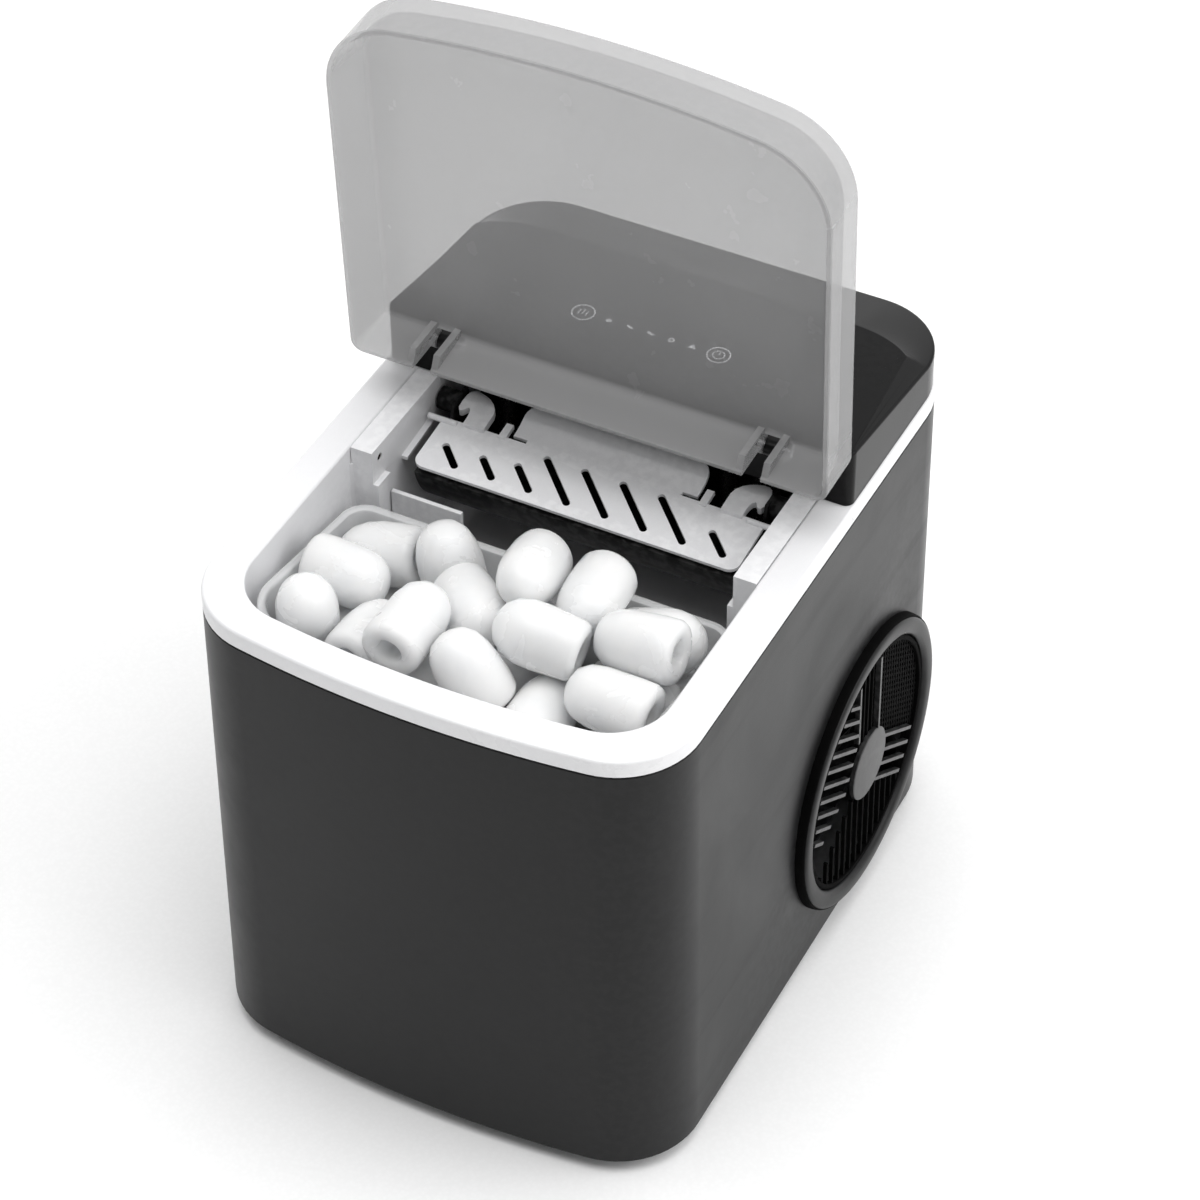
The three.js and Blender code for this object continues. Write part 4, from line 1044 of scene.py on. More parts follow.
def drop_bullets(count):
    """Lets bullets fall into the basket as rigid bodies, and leaves them where they rest."""
    scene = bpy.context.scene
    bpy.ops.rigidbody.world_add()
    world = scene.rigidbody_world
    world.substeps_per_frame = 14
    world.solver_iterations = 24
    world.point_cache.frame_start = 1
    world.point_cache.frame_end = 220
    walls = []

    def wall(name, bm):
        obj = blank(name, bm)
        bpy.context.view_layer.objects.active = obj
        bpy.ops.rigidbody.object_add(type="PASSIVE")
        obj.rigid_body.collision_shape = "CONVEX_HULL"
        obj.rigid_body.friction = 0.25
        obj.rigid_body.use_margin = True
        obj.rigid_body.collision_margin = 0.0004
        walls.append(obj)

    half, front, back, floor = 85.6, basket_low.y + 7.5, -35.5, basket_low.z + 2.4
    wall("floor", bar(-200, 200, -300, 100, floor - 60, floor))
    tall = 420
    wall("right_wall", bar(half + 1, half + 80, -300, 100, floor - 60, tall))
    wall("left_wall", bar(-half - 80, -half - 1, -300, 100, floor - 60, tall))
    wall("front_wall", bar(-200, 200, front - 80, front, floor - 60, tall))
    wall("back_wall", bar(-200, 200, back, back + 80, floor - 60, tall))
    for sign in (-1, 1):
        for corner_y, turn in ((front + 6.5, 45 * sign), (back - 3, -45 * sign)):
            prop = bar(-60, 60, -40, 40, floor - 60, tall)
            outward = -1 if corner_y < -80 else 1
            reach = 40
            prop.transform(Matrix.Translation((
                sign * (half - 6.5 + reach * math.sin(math.radians(45))),
                corner_y + outward * reach * math.cos(math.radians(45)), 0))
                @ Matrix.Rotation(math.radians(turn), 4, "Z"))
            wall("corner", prop)

    chance = random.Random(11)
    fallen = []
    for i in range(count):
        obj = make_bullet(f"ice_bullet_{i + 1:02d}", 100 + i)
        layer, spot = divmod(i, 8)
        column, row = spot % 4, spot // 4
        obj.location = Vector((-60 + 40 * column + chance.uniform(-5, 5),
                               -102 + 40 * row + chance.uniform(-4, 4),
                               floor + 26 + layer * 44)) * MM
        obj.rotation_euler = [chance.uniform(0, math.tau) for _ in range(3)]
        bpy.context.view_layer.objects.active = obj
        bpy.ops.rigidbody.object_add(type="ACTIVE")
        body = obj.rigid_body
        body.collision_shape = "CONVEX_HULL"
        body.mass = 0.018
        body.friction = 0.18
        body.restitution = 0.05
        body.linear_damping = 0.1
        body.angular_damping = 0.3
        body.use_margin = True
        body.collision_margin = 0.0003
        fallen.append(obj)
    for step in range(1, 200):
        scene.frame_set(step)
    bpy.context.view_layer.update()
    places = [obj.evaluated_get(bpy.context.evaluated_depsgraph_get()).matrix_world.copy()
              for obj in fallen]
    scene.frame_set(1)
    for obj in walls + fallen:
        bpy.context.view_layer.objects.active = obj
        obj.select_set(True)
        bpy.ops.rigidbody.object_remove()
        obj.select_set(False)
    bpy.ops.rigidbody.world_remove()
    for obj in walls:
        bpy.data.objects.remove(obj)
    # Bullets that rolled out of the basket, or lie too high for the closed lid, are dropped.
    inside_x, inside_y = 100, (basket_low.y - 2, basket_high.y + 2)
    heap_top = 262.0
    for obj, spot in zip(fallen, places):
        x, y = spot.translation.xy / MM
        top = max((spot @ vert.co).z for vert in obj.data.vertices) / MM
        if abs(x) > inside_x or not inside_y[0] < y < inside_y[1] or top > heap_top:
            bpy.data.objects.remove(obj)
            continue
        obj.location = (0, 0, 0)
        obj.rotation_euler = (0, 0, 0)
        obj.matrix_world = Matrix.Identity(4)
        obj.data.transform(spot)
        fit_piece(obj, ice, "basket", sharp=60)


drop_bullets(76)


# ---------------------------------------------------------------- ice shovel
# A white moulded plate that sweeps fallen ice forward off the tray. It has slots to drain
# through, a turned-up flange behind, two hooked arms, and a stub at each end in the rails.

SHOVEL_SLOPE = math.atan(6.1 / 48.2)
SHOVEL_PLACE = (Matrix.Translation((0, -5.2, 231.0))
                @ Matrix.Rotation(SHOVEL_SLOPE, 4, "X"))


def flat_piece(points, z0, z1):
    """A flat outline given thickness."""
    bm = bmesh.new()
    rows = [[bm.verts.new((x, y, z)) for x, y in points] for z in (z0, z1)]
    for i in range(len(points)):
        j = (i + 1) % len(points)
        bm.faces.new((rows[0][i], rows[0][j], rows[1][j], rows[1][i]))
    bm.faces.new(rows[0][::-1])
    bm.faces.new(rows[1])
    bmesh.ops.recalc_face_normals(bm, faces=bm.faces)
    return bm


def round_slot(x, y0, y1, width, turn, z0, z1):
    """A slot with half-round ends, turned about its own middle."""
    points = []
    r = width / 2
    for centre, start in ((y1 - r, 0), (y0 + r, 180)):
        for i in range(9):
            angle = math.radians(start + 180 * i / 8)
            points.append((r * math.cos(angle), centre - (y0 + y1) / 2 + r * math.sin(angle)))
    bm = flat_piece(points, z0, z1)
    bm.transform(Matrix.Translation((x, (y0 + y1) / 2, 0))
                 @ Matrix.Rotation(math.radians(turn), 4, "Z"))
    return bm


def build_shovel():
    half, thick, depth, blade = 77.4, 1.6, 48.58, 30.0
    outline = []
    for cx, cy, r, start in ((half - 5, 5, 5, -90), (half - 3, blade - 3, 3, 0),
                             (-half + 3, blade - 3, 3, 90), (-half + 5, 5, 5, 180)):
        for i in range(9):
            turn = math.radians(start + 90 * i / 8)
            outline.append((cx + r * math.cos(turn), cy + r * math.sin(turn)))
    plate = blank("slotted_shovel", flat_piece(outline, 0, thick))

    # The flange curls up behind the blade, with round corners, on a narrower neck.
    flange_half, curl = 44.3, []
    for i in range(11):
        share = i / 10
        y = blade + 2 + (depth - blade - 2) * share
        pinch = max(0.0, (y - (depth - 6)) / 6)
        reach = flange_half - 6 * (1 - math.sqrt(max(0.0, 1 - pinch ** 2)))
        lift = 5.4 * share ** 2.2
        curl.append([(-reach, y, lift), (reach, y, lift), (reach, y - 0.8 * share, lift + thick),
                     (-reach, y - 0.8 * share, lift + thick)])
    parts = [bar(-flange_half + 7, flange_half - 7, blade - 1, blade + 3, 0.01, thick - 0.01),
             loft(curl)]
    hook_outline = [(57, 28), (67, 28), (67.1, 32.5), (67.4, 35), (68, 36.8), (69, 37.6),
                    (69.9, 37), (70.5, 35.7), (71.4, 34.8), (72.6, 35), (73.4, 36.4),
                    (73.6, 40), (73.4, 44), (72.6, 46.4), (71, 47.5), (68.4, 47.6),
                    (65.5, 46.8), (62.6, 45.6), (60, 43.6), (58, 41), (57.1, 38)]
    for sign in (-1, 1):
        hook = flat_piece([(sign * x, y) for x, y in hook_outline], 0.02, 3.6)
        parts += [hook, bar(min(sign * 46.6, sign * 50), max(sign * 46.6, sign * 50),
                            blade - 2, 37, 0.1, 2.4),
                  rod("x", 1.4, min(sign * 70, sign * 84), max(sign * 70, sign * 84),
                      (0, blade - 2, 1.8), 24)]
    combine(plate, parts, "UNION")
    slots = [(-64, 10.5, 16), (-46, 10.7, 15.5), (-29, 11.7, 18.5), (63.6, 11.3, 16.5)]
    slots += [(-15 + 18.3 * i, 16, 30.6) for i in range(4)]
    combine(plate, [round_slot(x, y - length / 2, y + length / 2, 3.4, 45, -5, 8)
                    for x, y, length in slots])
    soften(plate, 0.45, 3, 40)
    plate.data.transform(Matrix.Translation(SHOVEL_PLACE.translation * MM)
                         @ Matrix.Rotation(SHOVEL_SLOPE, 4, "X"))
    fit_piece(plate, white_plastic, "shovel", ["ice_shovel"])


build_shovel()


# ---------------------------------------------------------------- tilting tray
# A black trough, round about its own pivots, that holds the water the fingers freeze in
# and tips the bullets out. It turns on the motor's shaft and on a steel pin.

black_plastic = finish("black_plastic", (0.006, 0.006, 0.0062), 0.45,
                       tint=(0.008, 0.008, 0.0082), worn=(0.035, 0.035, 0.035), grain=1100,
                       grain_height=0.02, settings={"Specular IOR Level": 0.07})


def build_tray():
    inside, wall, half, rim = 40.0, 1.5, 76.0, -8.0
    bottom = math.degrees(math.asin(rim / inside))
    ring = []
    for radius, way in ((inside + wall, 1), (inside, -1)):
        steps = range(49) if way > 0 else range(48, -1, -1)
        for i in steps:
            turn = math.radians(180 - bottom + (180 + 2 * bottom) * i / 48)
            ring.append((radius * math.cos(turn), radius * math.sin(turn)))
    trough = flat_piece(ring, -half, half)
    turn_to_x = Matrix(((0, 0, 1, 0), (1, 0, 0, 0), (0, 1, 0, 0), (0, 0, 0, 1)))
    trough.transform(turn_to_x)
    tray = blank("tipping_tray", trough)
    parts = []
    for sign in (-1, 1):
        end = []
        for i in range(49):
            turn = math.radians(180 - bottom + (180 + 2 * bottom) * i / 48)
            end.append(((inside + 0.7) * math.cos(turn), (inside + 0.7) * math.sin(turn)))
        plate = flat_piece(end, min(sign * (half - wall), sign * half),
                           max(sign * (half - wall), sign * half))
        plate.transform(turn_to_x)
        ear = flat_piece([(-9, rim - 1), (9, rim - 1), (6, 5), (-6, 5)],
                         min(sign * (half - wall), sign * half) + 0.01,
                         max(sign * (half - wall), sign * half) - 0.01)
        ear.transform(turn_to_x)
        parts += [plate, ear, rod("x", 5.2, min(sign * (half - wall), sign * 84.4),
                                  max(sign * (half - wall), sign * 84.4), (0, 0, 0), 40)]
    combine(tray, parts, "UNION")
    combine(tray, [rod("x", 2.8, min(sign * 79, sign * 86), max(sign * 79, sign * 86),
                       (0, 0, 0), 32) for sign in (-1, 1)])
    soften(tray, 0.3, 2, 40)
    tray.data.transform(Matrix.Translation(Vector((0, *TRAY_AXIS)) * MM))
    fit_piece(tray, black_plastic, "tray", ["water_tray"])


build_tray()


def build_tray_drive():
    refinish(zinc_plate, "tray_motor")
    low, high = node_box("tray_pivot_pin")
    reach = high.x - low.x
    pin = turned([(0, 0), (2.0, 0), (2.5, 0.5), (2.5, 0.6), (3.2, 0.7), (3.2, 2.8), (2.5, 3.0),
                  (2.5, reach - 0.4), (2.1, reach), (0, reach)], "x", (low.x, *TRAY_AXIS), 40)
    fit_piece(blank("pivot_pin", pin), plated_steel, "cabinet", ["tray_pivot_pin"])


build_tray_drive()


# ---------------------------------------------------------------- evaporator
# A nickel-plated copper tube with nine cold fingers brazed under it. Closed-cell foam is
# laid along the top of the tube to keep the cold in, and shows a lobe at each finger.

nickel = metal("nickel_plate", (0.60, 0.58, 0.55), 0.24, tarnish=(0.42, 0.39, 0.35))
foam = finish("closed_cell_foam", (0.012, 0.012, 0.012), 0.9, tint=(0.02, 0.02, 0.02),
              grain=600, grain_height=0.12, settings={"Specular IOR Level": 0.2})


def tube(points, radius, sides=20, steps=120):
    """A round tube along a smooth curve through points, with flat closed ends."""
    points = [Vector(p) for p in points]
    points = [2 * points[0] - points[1]] + points + [2 * points[-1] - points[-2]]
    spans = len(points) - 3
    path = []
    for i in range(steps + 1):
        along = spans * i / steps
        span = min(int(along), spans - 1)
        t = along - span
        a, b, c, d = points[span:span + 4]
        path.append(0.5 * (2 * b + (c - a) * t + (2 * a - 5 * b + 4 * c - d) * t ** 2
                           + (3 * b - a - 3 * c + d) * t ** 3))
    across = (path[1] - path[0]).orthogonal().normalized()
    rings = []
    for i, place in enumerate(path):
        way = (path[min(i + 1, steps)] - path[max(i - 1, 0)]).normalized()
        across = (across - way * across.dot(way)).normalized()
        other = way.cross(across)
        rings.append([place + radius * (across * math.cos(t) + other * math.sin(t))
                      for t in (math.tau * k / sides for k in range(sides))])
    return loft(rings)


def build_evaporator():
    y, z, end = 54.0, 245.0, 88.0
    body = blank("cold_fingers", tube([
        (-80, end, z), (-80, 74, z), (-79, 62, z), (-73, y, z), (-40, y, z), (0, y, z),
        (40, y, z), (73, y, z), (79, 62, z), (80, 74, z), (80, end, z)], 3.5, 24, 110))
    fingers = []
    for i in range(9):
        profile = [(0, 208), (1.6, 208.2), (3.0, 209), (4.1, 210.6), (4.5, 213), (4.5, 240.6),
                   (4.9, 241.2), (4.6, 242.4), (4.0, 243.6), (3.0, z + 0.5), (0, z + 0.6)]
        fingers.append(turned(profile, "z", ((i - 4) * 15.5, y, 0), 36))
    combine(body, fingers, "UNION")
    fit_piece(body, nickel, "cabinet", ["evaporator"])

    low, high = node_box("evaporator_foam")
    block = bar(-66, 66, 50, 66, low.z, high.z)
    strip = blank("foam_strip", block)
    combine(strip, [rod("z", 9.5, low.z + 0.01, high.z - 0.01, (i * 15.5, 55, 0), 40)
                    for i in range(-4, 5)], "UNION")
    soften(strip, 1.2, 3, 50)
    fit_piece(strip, foam, "cabinet", ["evaporator_foam"])


build_evaporator()


# ---------------------------------------------------------------- cooling circuit
# A black enamelled compressor can on a sprung plate drives the circuit. Copper pipes lead
# from it through the finned condenser, the drier and a thin capillary to the evaporator.

black_enamel = finish("black_enamel", (0.01, 0.01, 0.0105), 0.3, worn=(0.06, 0.055, 0.05),
                      grain=500, grain_height=0.03)
copper = metal("copper_pipe", (0.75, 0.36, 0.22), 0.3, tarnish=(0.42, 0.19, 0.11))
fin_metal = metal("fin_metal", (0.66, 0.67, 0.68), 0.38, brushed=(1.0, 1.0, 0.05))


def build_compressor():
    low, high = node_box("compressor")
    x, y = (low.x + high.x) / 2, (low.y + high.y) / 2
    tall = high.z - low.z
    profile = [(0, 0), (30, 0), (37, 1.2), (42, 4), (45, 8.5), (46, 14), (46, 43.6), (47.6, 44),
               (48, 44.8), (48, 48.2), (47.6, 49), (46, 49.4), (46, tall - 26),
               (44.8, tall - 18), (41, tall - 11), (34, tall - 5.5), (24, tall - 1.6),
               (12, tall - 0.3), (0, tall)]
    can = blank("compressor_can", turned(profile, "z", (x, y, low.z), 80))
    fit_piece(can, black_enamel, "cabinet", ["compressor"])
    low, high = node_box("filter_drier")
    tall = high.z - low.z
    profile = [(0, 0), (2.5, 0), (2.5, 3.6), (3.4, 4.6), (6.2, 8), (7, 10.5), (7, tall - 10.5),
               (6.2, tall - 8), (3.4, tall - 4.6), (2.5, tall - 3.6), (2.5, tall), (0, tall)]
    drier = blank("drier_can", turned(profile, "z", ((low.x + high.x) / 2,
                                                     (low.y + high.y) / 2, low.z), 40))
    fit_piece(drier, copper, "cabinet", ["filter_drier"])


build_compressor()


def build_pipes():
    routes = {
        "discharge_tube": (3.0, [(-30, 78, 128.5), (-30, 80, 136), (-22, 86, 144),
                                 (0, 96, 147), (24, 103, 145), (32, 104, 140),
                                 (32, 104, 134.5)]),
        "liquid_tube": (2.2, [(32, 120.6, 26), (32, 126, 27), (24, 130, 32), (10, 130, 40),
                              (4, 130, 50), (4, 130, 59.5)]),
        "capillary_tube": (1.6, [(4, 130, 96.5), (6, 128, 112), (24, 112, 140),
                                 (54, 104, 180), (76, 104, 222), (80, 98, 242), (80, 92, 245),
                                 (80, 88.6, 245)]),
        "suction_tube": (3.4, [(-80, 88.6, 245), (-80, 96, 244), (-80, 106, 234),
                               (-80, 114, 200), (-76, 130, 150), (-62, 140, 122),
                               (-52, 136, 112), (-52, 125.5, 110)])}
    for node, (radius, points) in routes.items():
        fit_piece(blank("copper_" + node, tube(points, radius)), copper, "cabinet", [node])


build_pipes()
refinish(zinc_plate, "compressor_mount")
refinish(fin_metal, "condenser")


# ---------------------------------------------------------------- fan
# A seven-bladed axial fan behind the side grille, turned by a small motor that a black
# shroud carries. It blows the condenser's warm air out through the side.

refinish(black_plastic, "fan_shroud")
refinish(zinc_plate, "fan_motor")


def build_fan():
    """Blades with a twist: steep at the hub and flat at the tip."""
    low, high = node_box("fan_blade")
    centre = Vector(((low.x + high.x) / 2, VENT_CENTRE.y, VENT_CENTRE.z))
    hub_profile = [(0, -7.5), (15.8, -7.5), (17, -6.6), (17, 5.6), (15.4, 7.2), (11, 7.5),
                   (0, 7.5)]
    fan = blank("fan_wheel", turned(hub_profile, "x", (0, 0, 0), 56))
    blades = []
    for k in range(7):
        rings = []
        for i in range(9):
            radius = 15.5 + 36.0 * i / 8
            pitch = math.radians(56 - 26 * i / 8)
            chord = 18 + 8 * i / 8
            sweep = math.tau * k / 7 + 0.16 * (i / 8) ** 2
            ring = []
            for u, thick in ((-0.5, 0.25), (-0.25, 0.8), (0.1, 0.9), (0.5, 0.25),
                             (0.1, -0.9), (-0.25, -0.8)):
                along = u * chord
                camber = 1.8 * (1 - 4 * u * u)
                across = along * math.cos(pitch) / radius
                x = along * math.sin(pitch) * 0.55 + thick * math.cos(pitch) + camber * 0.5
                r = radius
                ring.append((x, r * math.cos(sweep + across), r * math.sin(sweep + across)))
            rings.append(ring)
        blades.append(loft(rings))
    combine(fan, blades, "UNION")
    combine(fan, [rod("x", 2.6, -9, -2, (0, 0, 0), 24)])
    fan.data.transform(Matrix.Translation(centre * MM))
    fit_piece(fan, black_plastic, "fan", ["fan_blade"])


build_fan()


# ---------------------------------------------------------------- side grille
# A round black moulding inside a raised bezel. Slanted slats flank the hub, upright ones
# lie deeper above and below it, and a fine mesh fills the upper rear field.

VENT_PLACE = (Matrix.Translation((PLAN["half_width"] + DRAFT * (shell_high.z - VENT_CENTRE.z)
                                  / (shell_high.z - shell_low.z), VENT_CENTRE.y,
                                  VENT_CENTRE.z))
              @ Matrix.Rotation(-DRAFT_ANGLE, 4, "Y"))


def on_vent(obj):
    """Moves a piece made about the vent's own centre to its place on the leaning wall."""
    place = VENT_PLACE.copy()
    place.translation *= MM
    obj.data.transform(place)
    return obj


def clip(start, end, planes):
    """Cuts a segment to the side of each plane (normal y, normal z, limit) below its limit."""
    for ny, nz, limit in planes:
        a = ny * start[0] + nz * start[1] - limit
        b = ny * end[0] + nz * end[1] - limit
        if a > 0 and b > 0:
            return None
        if a > 0 or b > 0:
            t = a / (a - b)
            cross = (start[0] + (end[0] - start[0]) * t, start[1] + (end[1] - start[1]) * t)
            start, end = (cross, end) if a > 0 else (start, cross)
    return start, end


def gather(name, parts):
    """One object from several closed meshes."""
    mesh = bmesh.new()
    for part in parts:
        data = bpy.data.meshes.new("part")
        part.to_mesh(data)
        part.free()
        mesh.from_mesh(data)
        bpy.data.meshes.remove(data)
    return blank(name, mesh)


grille_plastic = finish("grille_plastic", (0.016, 0.016, 0.0165), 0.34,
                        worn=(0.05, 0.05, 0.05), grain=1200, grain_height=0.012,
                        settings={"Specular IOR Level": 0.42})
# painted_shade_black is painted shade: near black for the grille's deeper parts and the bezel's
# outer wall, which lie in shade.
painted_shade_black = finish("painted_shade_black", (0.0018, 0.0018, 0.0018), 0.7,
                    tint=(0.0024, 0.0024, 0.0024), worn=(0.004, 0.004, 0.004), grain=900,
                    grain_height=0.03, settings={"Specular IOR Level": 0.03})


def build_grille():
    edge, hub, slant, face = 58.0, 17.5, math.radians(-35), 4.5
    along = (math.cos(slant), math.sin(slant))
    normal = (-math.sin(slant), math.cos(slant))
    left_line, right_line = -13.2, 8.6
    slat_width, deep_width, mesh_width = 1.7, 1.2, 1.1
    first_offset, pitch = 30.5, 7.05
    left_field = [(1, 0, left_line), (0.872, -0.490, -24.9), (0.381, -0.924, -13.9)]
    bottom_field = [(-0.537, 0.844, -3.2), (normal[0], normal[1], -9.6)]
    mesh_field = [(-1, 0, -right_line - 0.4)]

    def slat(start, end, width, x0, x1):
        """A bar of the grille between two points of its face."""
        dy, dz = end[0] - start[0], end[1] - start[1]
        bm = bar(x0, x1, 0, math.hypot(dy, dz), -width / 2, width / 2)
        bm.transform(Matrix.Translation((0, start[0], start[1]))
                     @ Matrix.Rotation(math.atan2(dz, dy), 4, "X"))
        return bm

    def slanted(parts, offset, t0, t1, planes, width, depth):
        half = math.sqrt(max(edge ** 2 - offset ** 2, 0)) + 1
        ends = [(normal[0] * offset + along[0] * t, normal[1] * offset + along[1] * t)
                for t in (max(t0, -half), min(t1, half))]
        kept = clip(*ends, planes)
        if kept:
            parts.append(slat(*kept, width, *depth))

    def upright(parts, y, z0, z1, planes, width, depth):
        half = math.sqrt(max(edge ** 2 - y ** 2, 0)) + 1
        kept = clip((y, max(z0, -half)), (y, min(z1, half)), planes)
        if kept:
            parts.append(slat(*kept, width, *depth))

    shallow, deep, deepest = (face - 2.5, face), (0.8, 2.6), (0.4, 1.4)
    bright = [turned([(0, face - 2.5), (hub - 0.3, face - 2.5), (hub, face - 2.2),
                      (hub, face - 0.3), (hub - 0.5, face + 0.1), (0, face + 0.4)], "x",
                     (0, 0, 0), 64)]
    upright(bright, left_line, 24, 80, [], 1.5, shallow)
    upright(bright, right_line, 10, 80, [], 1.5, shallow)
    for i in range(10):
        slanted(bright, first_offset - pitch * i, -80, 40, left_field, slat_width, shallow)
    for offset in (12.0, 4.9, -2.1, -9.2):
        slanted(bright, offset, 8, math.sqrt(51 ** 2 - offset ** 2), [], slat_width, shallow)
    grille = on_vent(gather("round_grille", bright))
    fit_piece(grille, grille_plastic, "cabinet", ["side_grille"])

    # Behind the slats: the rim they spring from, the deep upright slats and the mesh. They are the
    # same moulding, in painted_shade_black: painted shade.
    dark = [turned([(edge, 0.4), (VENT_RADIUS, 0.4), (VENT_RADIUS, 3.0),
                    (VENT_RADIUS - 0.4, 3.3), (edge + 0.3, 3.3), (edge, 3.0)], "x",
                   (0, 0, 0), 120)]
    for i in range(4):
        upright(dark, left_line + 4.4 * (i + 1), 12, 80, [], deep_width, deep)
    for i in range(15):
        upright(dark, -46 + 6.4 * i, -80, 30, bottom_field, deep_width, deep)
    for i in range(18):
        slanted(dark, 14.5 + 2.6 * i, -80, 80, mesh_field, mesh_width, deepest)
        y = right_line + 2.4 + 2.8 * i
        if y < edge:
            upright(dark, y, (12.0 - normal[0] * y) / normal[1], 80, [], mesh_width,
                    (deepest[0] + 0.2, deepest[1] + 0.2))
    backing = on_vent(gather("grille_backing", dark))
    # Painted shade on the same moulding as the slats.
    fit_piece(backing, painted_shade_black, "cabinet")


build_grille()


def build_bezel():
    """The raised painted ring round the grille, and the black skirt it stands on, whose near black
    is painted shade on the ring's outer wall.
    """
    inner, outer = VENT_RADIUS + 0.6, 70.5
    ring = blank("grille_bezel_ring", turned([
        (inner, -1.9), (outer - 1.3, -1.9), (outer - 1.3, 4.2), (outer - 1.6, 4.7),
        (outer - 2.3, 5.15), (outer - 3.4, 5.38), (outer - 5, 5.4), (inner + 2.6, 5.3),
        (inner + 1.2, 4.8), (inner + 0.3, 3.9), (inner, 2.8)], "x", (0, 0, 0), 128))
    fit_piece(on_vent(ring), charcoal_paint, "cabinet", ["grille_bezel"])
    skirt = blank("grille_skirt", turned([
        (outer - 1.2, -1.9), (outer, -1.9), (outer, 1.0), (outer - 0.3, 3.2),
        (outer - 0.8, 4.2), (outer - 1.2, 4.3)], "x", (0, 0, 0), 128))
    # The skirt's near black is painted shade on the bezel's outer wall.
    fit_piece(on_vent(skirt), painted_shade_black, "cabinet")


build_bezel()


# ---------------------------------------------------------------- water circuit
# A small pump lifts water from the tank to the tray. The tank drains through a hose to an
# outlet at the back, which a rubber plug with a pull tab closes.

silicone = finish("silicone_hose", (0.62, 0.64, 0.64), 0.35, grain=600, grain_height=0.01,
                  settings={"Subsurface Weight": 0.3, "Subsurface Scale": 0.002})
refinish(black_plastic, "water_pump")


def build_hoses():
    x, y = (pump_low.x + pump_high.x) / 2, 5.0
    rise = [(x, y, 60.5), (x, y, 100), (-64, y, 126), (-82, y, 148), (-96, y, 168),
            (-99.5, y, 190), (-99.5, y, 228)]
    drain = [(-70, -60, 39.2), (-70, -60, 36), (-78, -57, 26), (-96, -46, 18),
             (-104, -24, 17.5), (-105, 20, 17.5), (-105, 80, 17.5), (-103, 110, 18),
             (-88, 128, 24), (-66, 133, 33), (-54, 134, 38), (-50, 137, 38), (-50, 141, 38)]
    for name, node, radius, points in (("lift_hose", "pump_outlet_hose", 4.0, rise),
                                       ("drain_hose_run", "drain_hose", 4.2, drain)):
        fit_piece(blank(name, tube(points, radius)), silicone, "cabinet", [node])
    low, high = node_box("pump_inlet_hose")
    at = ((low.x + high.x) / 2, 0, (low.z + high.z) / 2)
    sleeve = turned([(2.4, low.y), (4.4, low.y), (4.4, high.y), (2.4, high.y)], "y", at, 36)
    fit_piece(blank("inlet_sleeve", sleeve), silicone, "cabinet", ["pump_inlet_hose"])


build_hoses()


def build_drain():
    low, high = node_box("drain_outlet")
    at = ((low.x + high.x) / 2, 0, (low.z + high.z) / 2)
    face = high.y
    outlet = turned([(3, low.y), (8, low.y), (8, face - 1.9), (11, face - 1.9),
                     (11, face - 0.7), (10.3, face), (6.2, face), (5.6, face - 0.5),
                     (5.6, low.y + 1.9), (3, low.y + 1.9)], "y", at, 64)
    fit_piece(blank("drain_spout", outlet), black_plastic, "cabinet", ["drain_outlet"])
    low, high = node_box("drain_plug")
    cap = high.y - 2.5
    plug = blank("drain_stopper_plug", turned([
        (0, low.y), (4.6, low.y), (5.2, low.y + 0.8), (5.2, cap - 3.7), (9.0, cap - 3.7),
        (9.5, cap - 3.2), (9.5, cap - 0.9), (8.7, cap - 0.1), (0, cap)], "y", at, 64))
    combine(plug, [bar(at[0] - 1.6, at[0] + 1.6, cap - 1, high.y, at[2] - 7, at[2] + 7)],
            "UNION")
    soften(plug, 0.5, 3, 50)
    fit_piece(plug, rubber, "drain_stopper", ["drain_plug"])


build_drain()


# ---------------------------------------------------------------- mains lead gland
# A black nylon gland in the back panel, where the mains lead comes out. A hexagon nut
# holds it from inside, and its mouth is flared to spare the lead.

def build_gland():
    low, high = node_box("power_gland")
    at = ((low.x + high.x) / 2, 0, (low.z + high.z) / 2)
    face = high.y
    gland = blank("lead_gland", turned([
        (3.3, low.y), (6.7, low.y), (6.7, face - 2.7), (10, face - 2.7), (10, face - 1),
        (9.2, face - 0.2), (8.4, face), (4.6, face), (3.6, face - 0.8), (3.3, face - 2)],
        "y", at, 48))
    nut = turned([(6.5, low.y + 1.5), (9.5, low.y + 1.5), (9.5, panel_low.y - 0.3),
                  (6.5, panel_low.y - 0.3)], "y", at, 6)
    combine(gland, [nut], "UNION")
    fit_piece(gland, black_plastic, "cabinet", ["power_gland"])


build_gland()


# ---------------------------------------------------------------- studio
# A plain pale sheet as floor, a soft pale room, and large soft lamps over the right side.

def build_studio():
    bm = bmesh.new()
    bmesh.ops.create_grid(bm, x_segments=2, y_segments=2, size=6000)
    bm.transform(Matrix.Translation((0, 0, -0.2)))
    floor = blank("floor", bm)
    paper = finish("floor_paper", (0.96, 0.96, 0.96), 0.85, tint=(0.955, 0.955, 0.955),
                   grain=500, grain_height=0.002, settings={"Specular IOR Level": 0.1})
    floor.data.materials.append(paper)


build_studio()


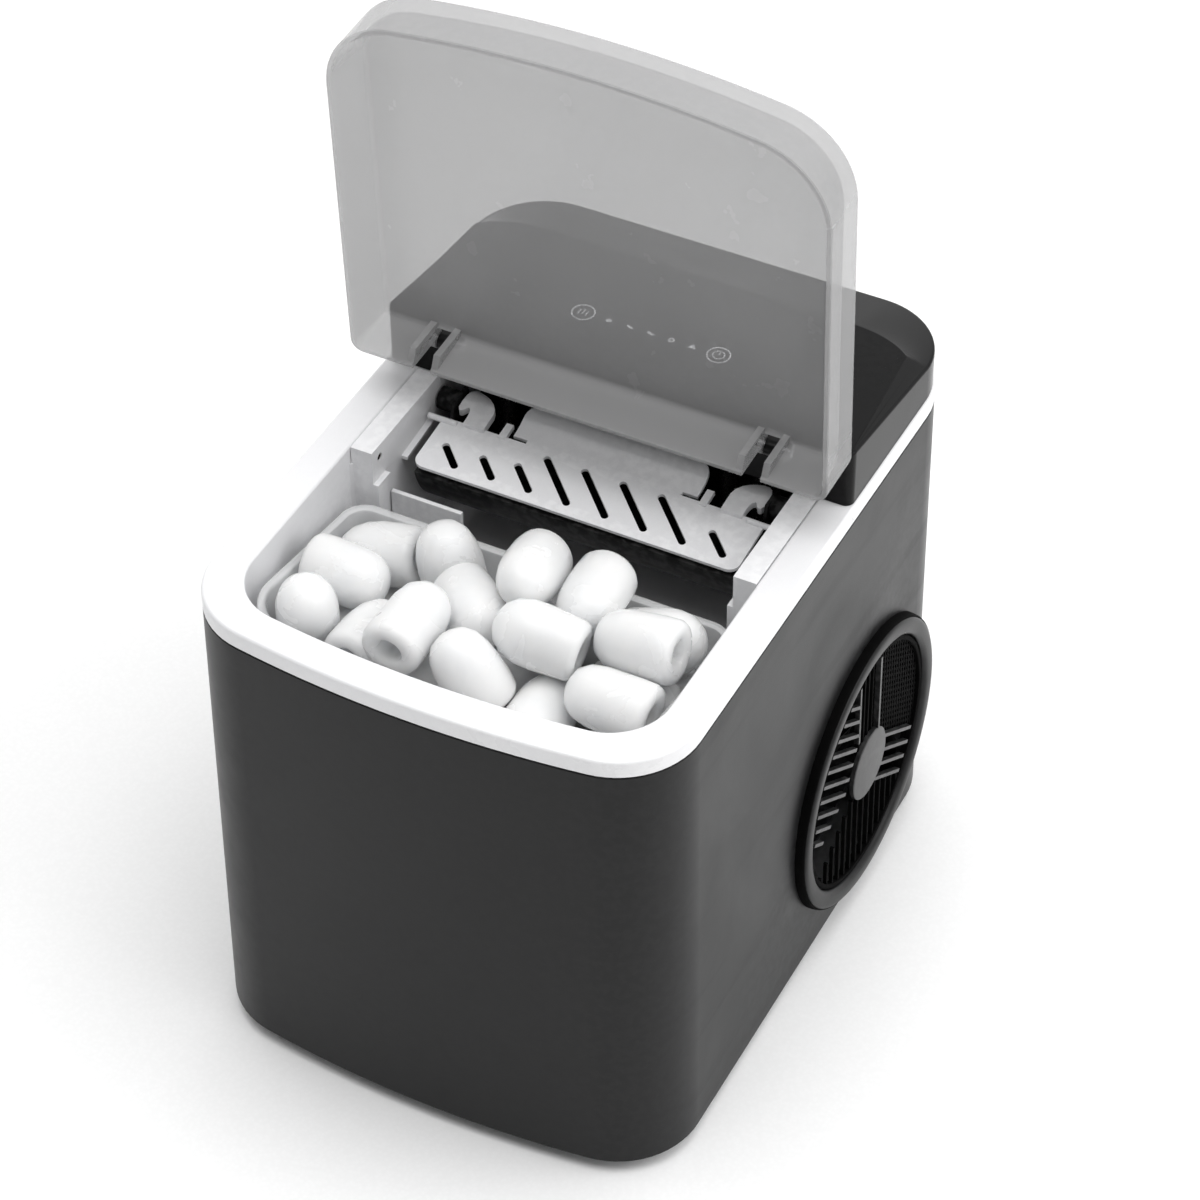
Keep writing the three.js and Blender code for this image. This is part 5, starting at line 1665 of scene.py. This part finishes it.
def add_lamp(name, place, aim, size, power):
    data = bpy.data.lights.new(name, "AREA")
    data.shape = "RECTANGLE"
    data.size, data.size_y = size
    data.energy = power
    lamp = bpy.data.objects.new(name, data)
    lamp.location = place
    lamp.rotation_euler = (Vector(aim) - Vector(place)).to_track_quat("-Z", "Y").to_euler()
    bpy.context.scene.collection.objects.link(lamp)


def light_studio():
    """A pale room, dim in front of the machine, so that its front reads darker."""
    room = bpy.data.worlds.new("room")
    bpy.context.scene.world = room
    room.use_nodes = True
    tree = room.node_tree
    glow = tree.nodes["Background"]
    glow.inputs["Color"].default_value = (1.0, 1.0, 1.0, 1.0)
    way = tree.nodes.new("ShaderNodeTexCoord")
    toward = tree.nodes.new("ShaderNodeVectorMath")
    toward.operation = "DOT_PRODUCT"
    toward.inputs[1].default_value = (0.0, -1.0, 0.1)
    link(tree, way.outputs["Generated"], toward.inputs[0])
    strength = map_range(tree, toward.outputs["Value"], -0.1, 0.75, 1.05, 0.12)
    link(tree, strength, glow.inputs["Strength"])
    centre = (0.0, 0.0, 0.2)
    add_lamp("key_lamp", (1.7, 0.3, 1.5), centre, (1.6, 1.6), 16)
    add_lamp("top_lamp", (0.1, -0.35, 2.4), centre, (1.8, 1.8), 32)
    bpy.context.scene.view_settings.view_transform = "Standard"


light_studio()


def aim_camera():
    """A long lens from the front right, looking down on the open mouth."""
    azimuth, elevation, roll = math.radians(27.39), math.radians(42.76), math.radians(-0.38)
    target = Vector((-2.86, 26.62, 157.0)) * MM
    distance = 1.71525
    forward = Vector((-math.sin(azimuth) * math.cos(elevation),
                      math.cos(azimuth) * math.cos(elevation), -math.sin(elevation)))
    right = forward.cross(Vector((0, 0, 1))).normalized()
    up = right.cross(forward)
    turned_right = math.cos(roll) * right + math.sin(roll) * up
    turned_up = -math.sin(roll) * right + math.cos(roll) * up
    data = bpy.data.cameras.new("camera")
    data.sensor_width = 36.0
    data.lens = 116.22
    data.clip_start = 0.05
    data.clip_end = 50.0
    camera = bpy.data.objects.new("camera", data)
    axes = Matrix((turned_right, turned_up, -forward)).transposed().to_4x4()
    camera.matrix_world = Matrix.Translation(target - forward * distance) @ axes
    bpy.context.scene.collection.objects.link(camera)
    bpy.context.scene.camera = camera


aim_camera()
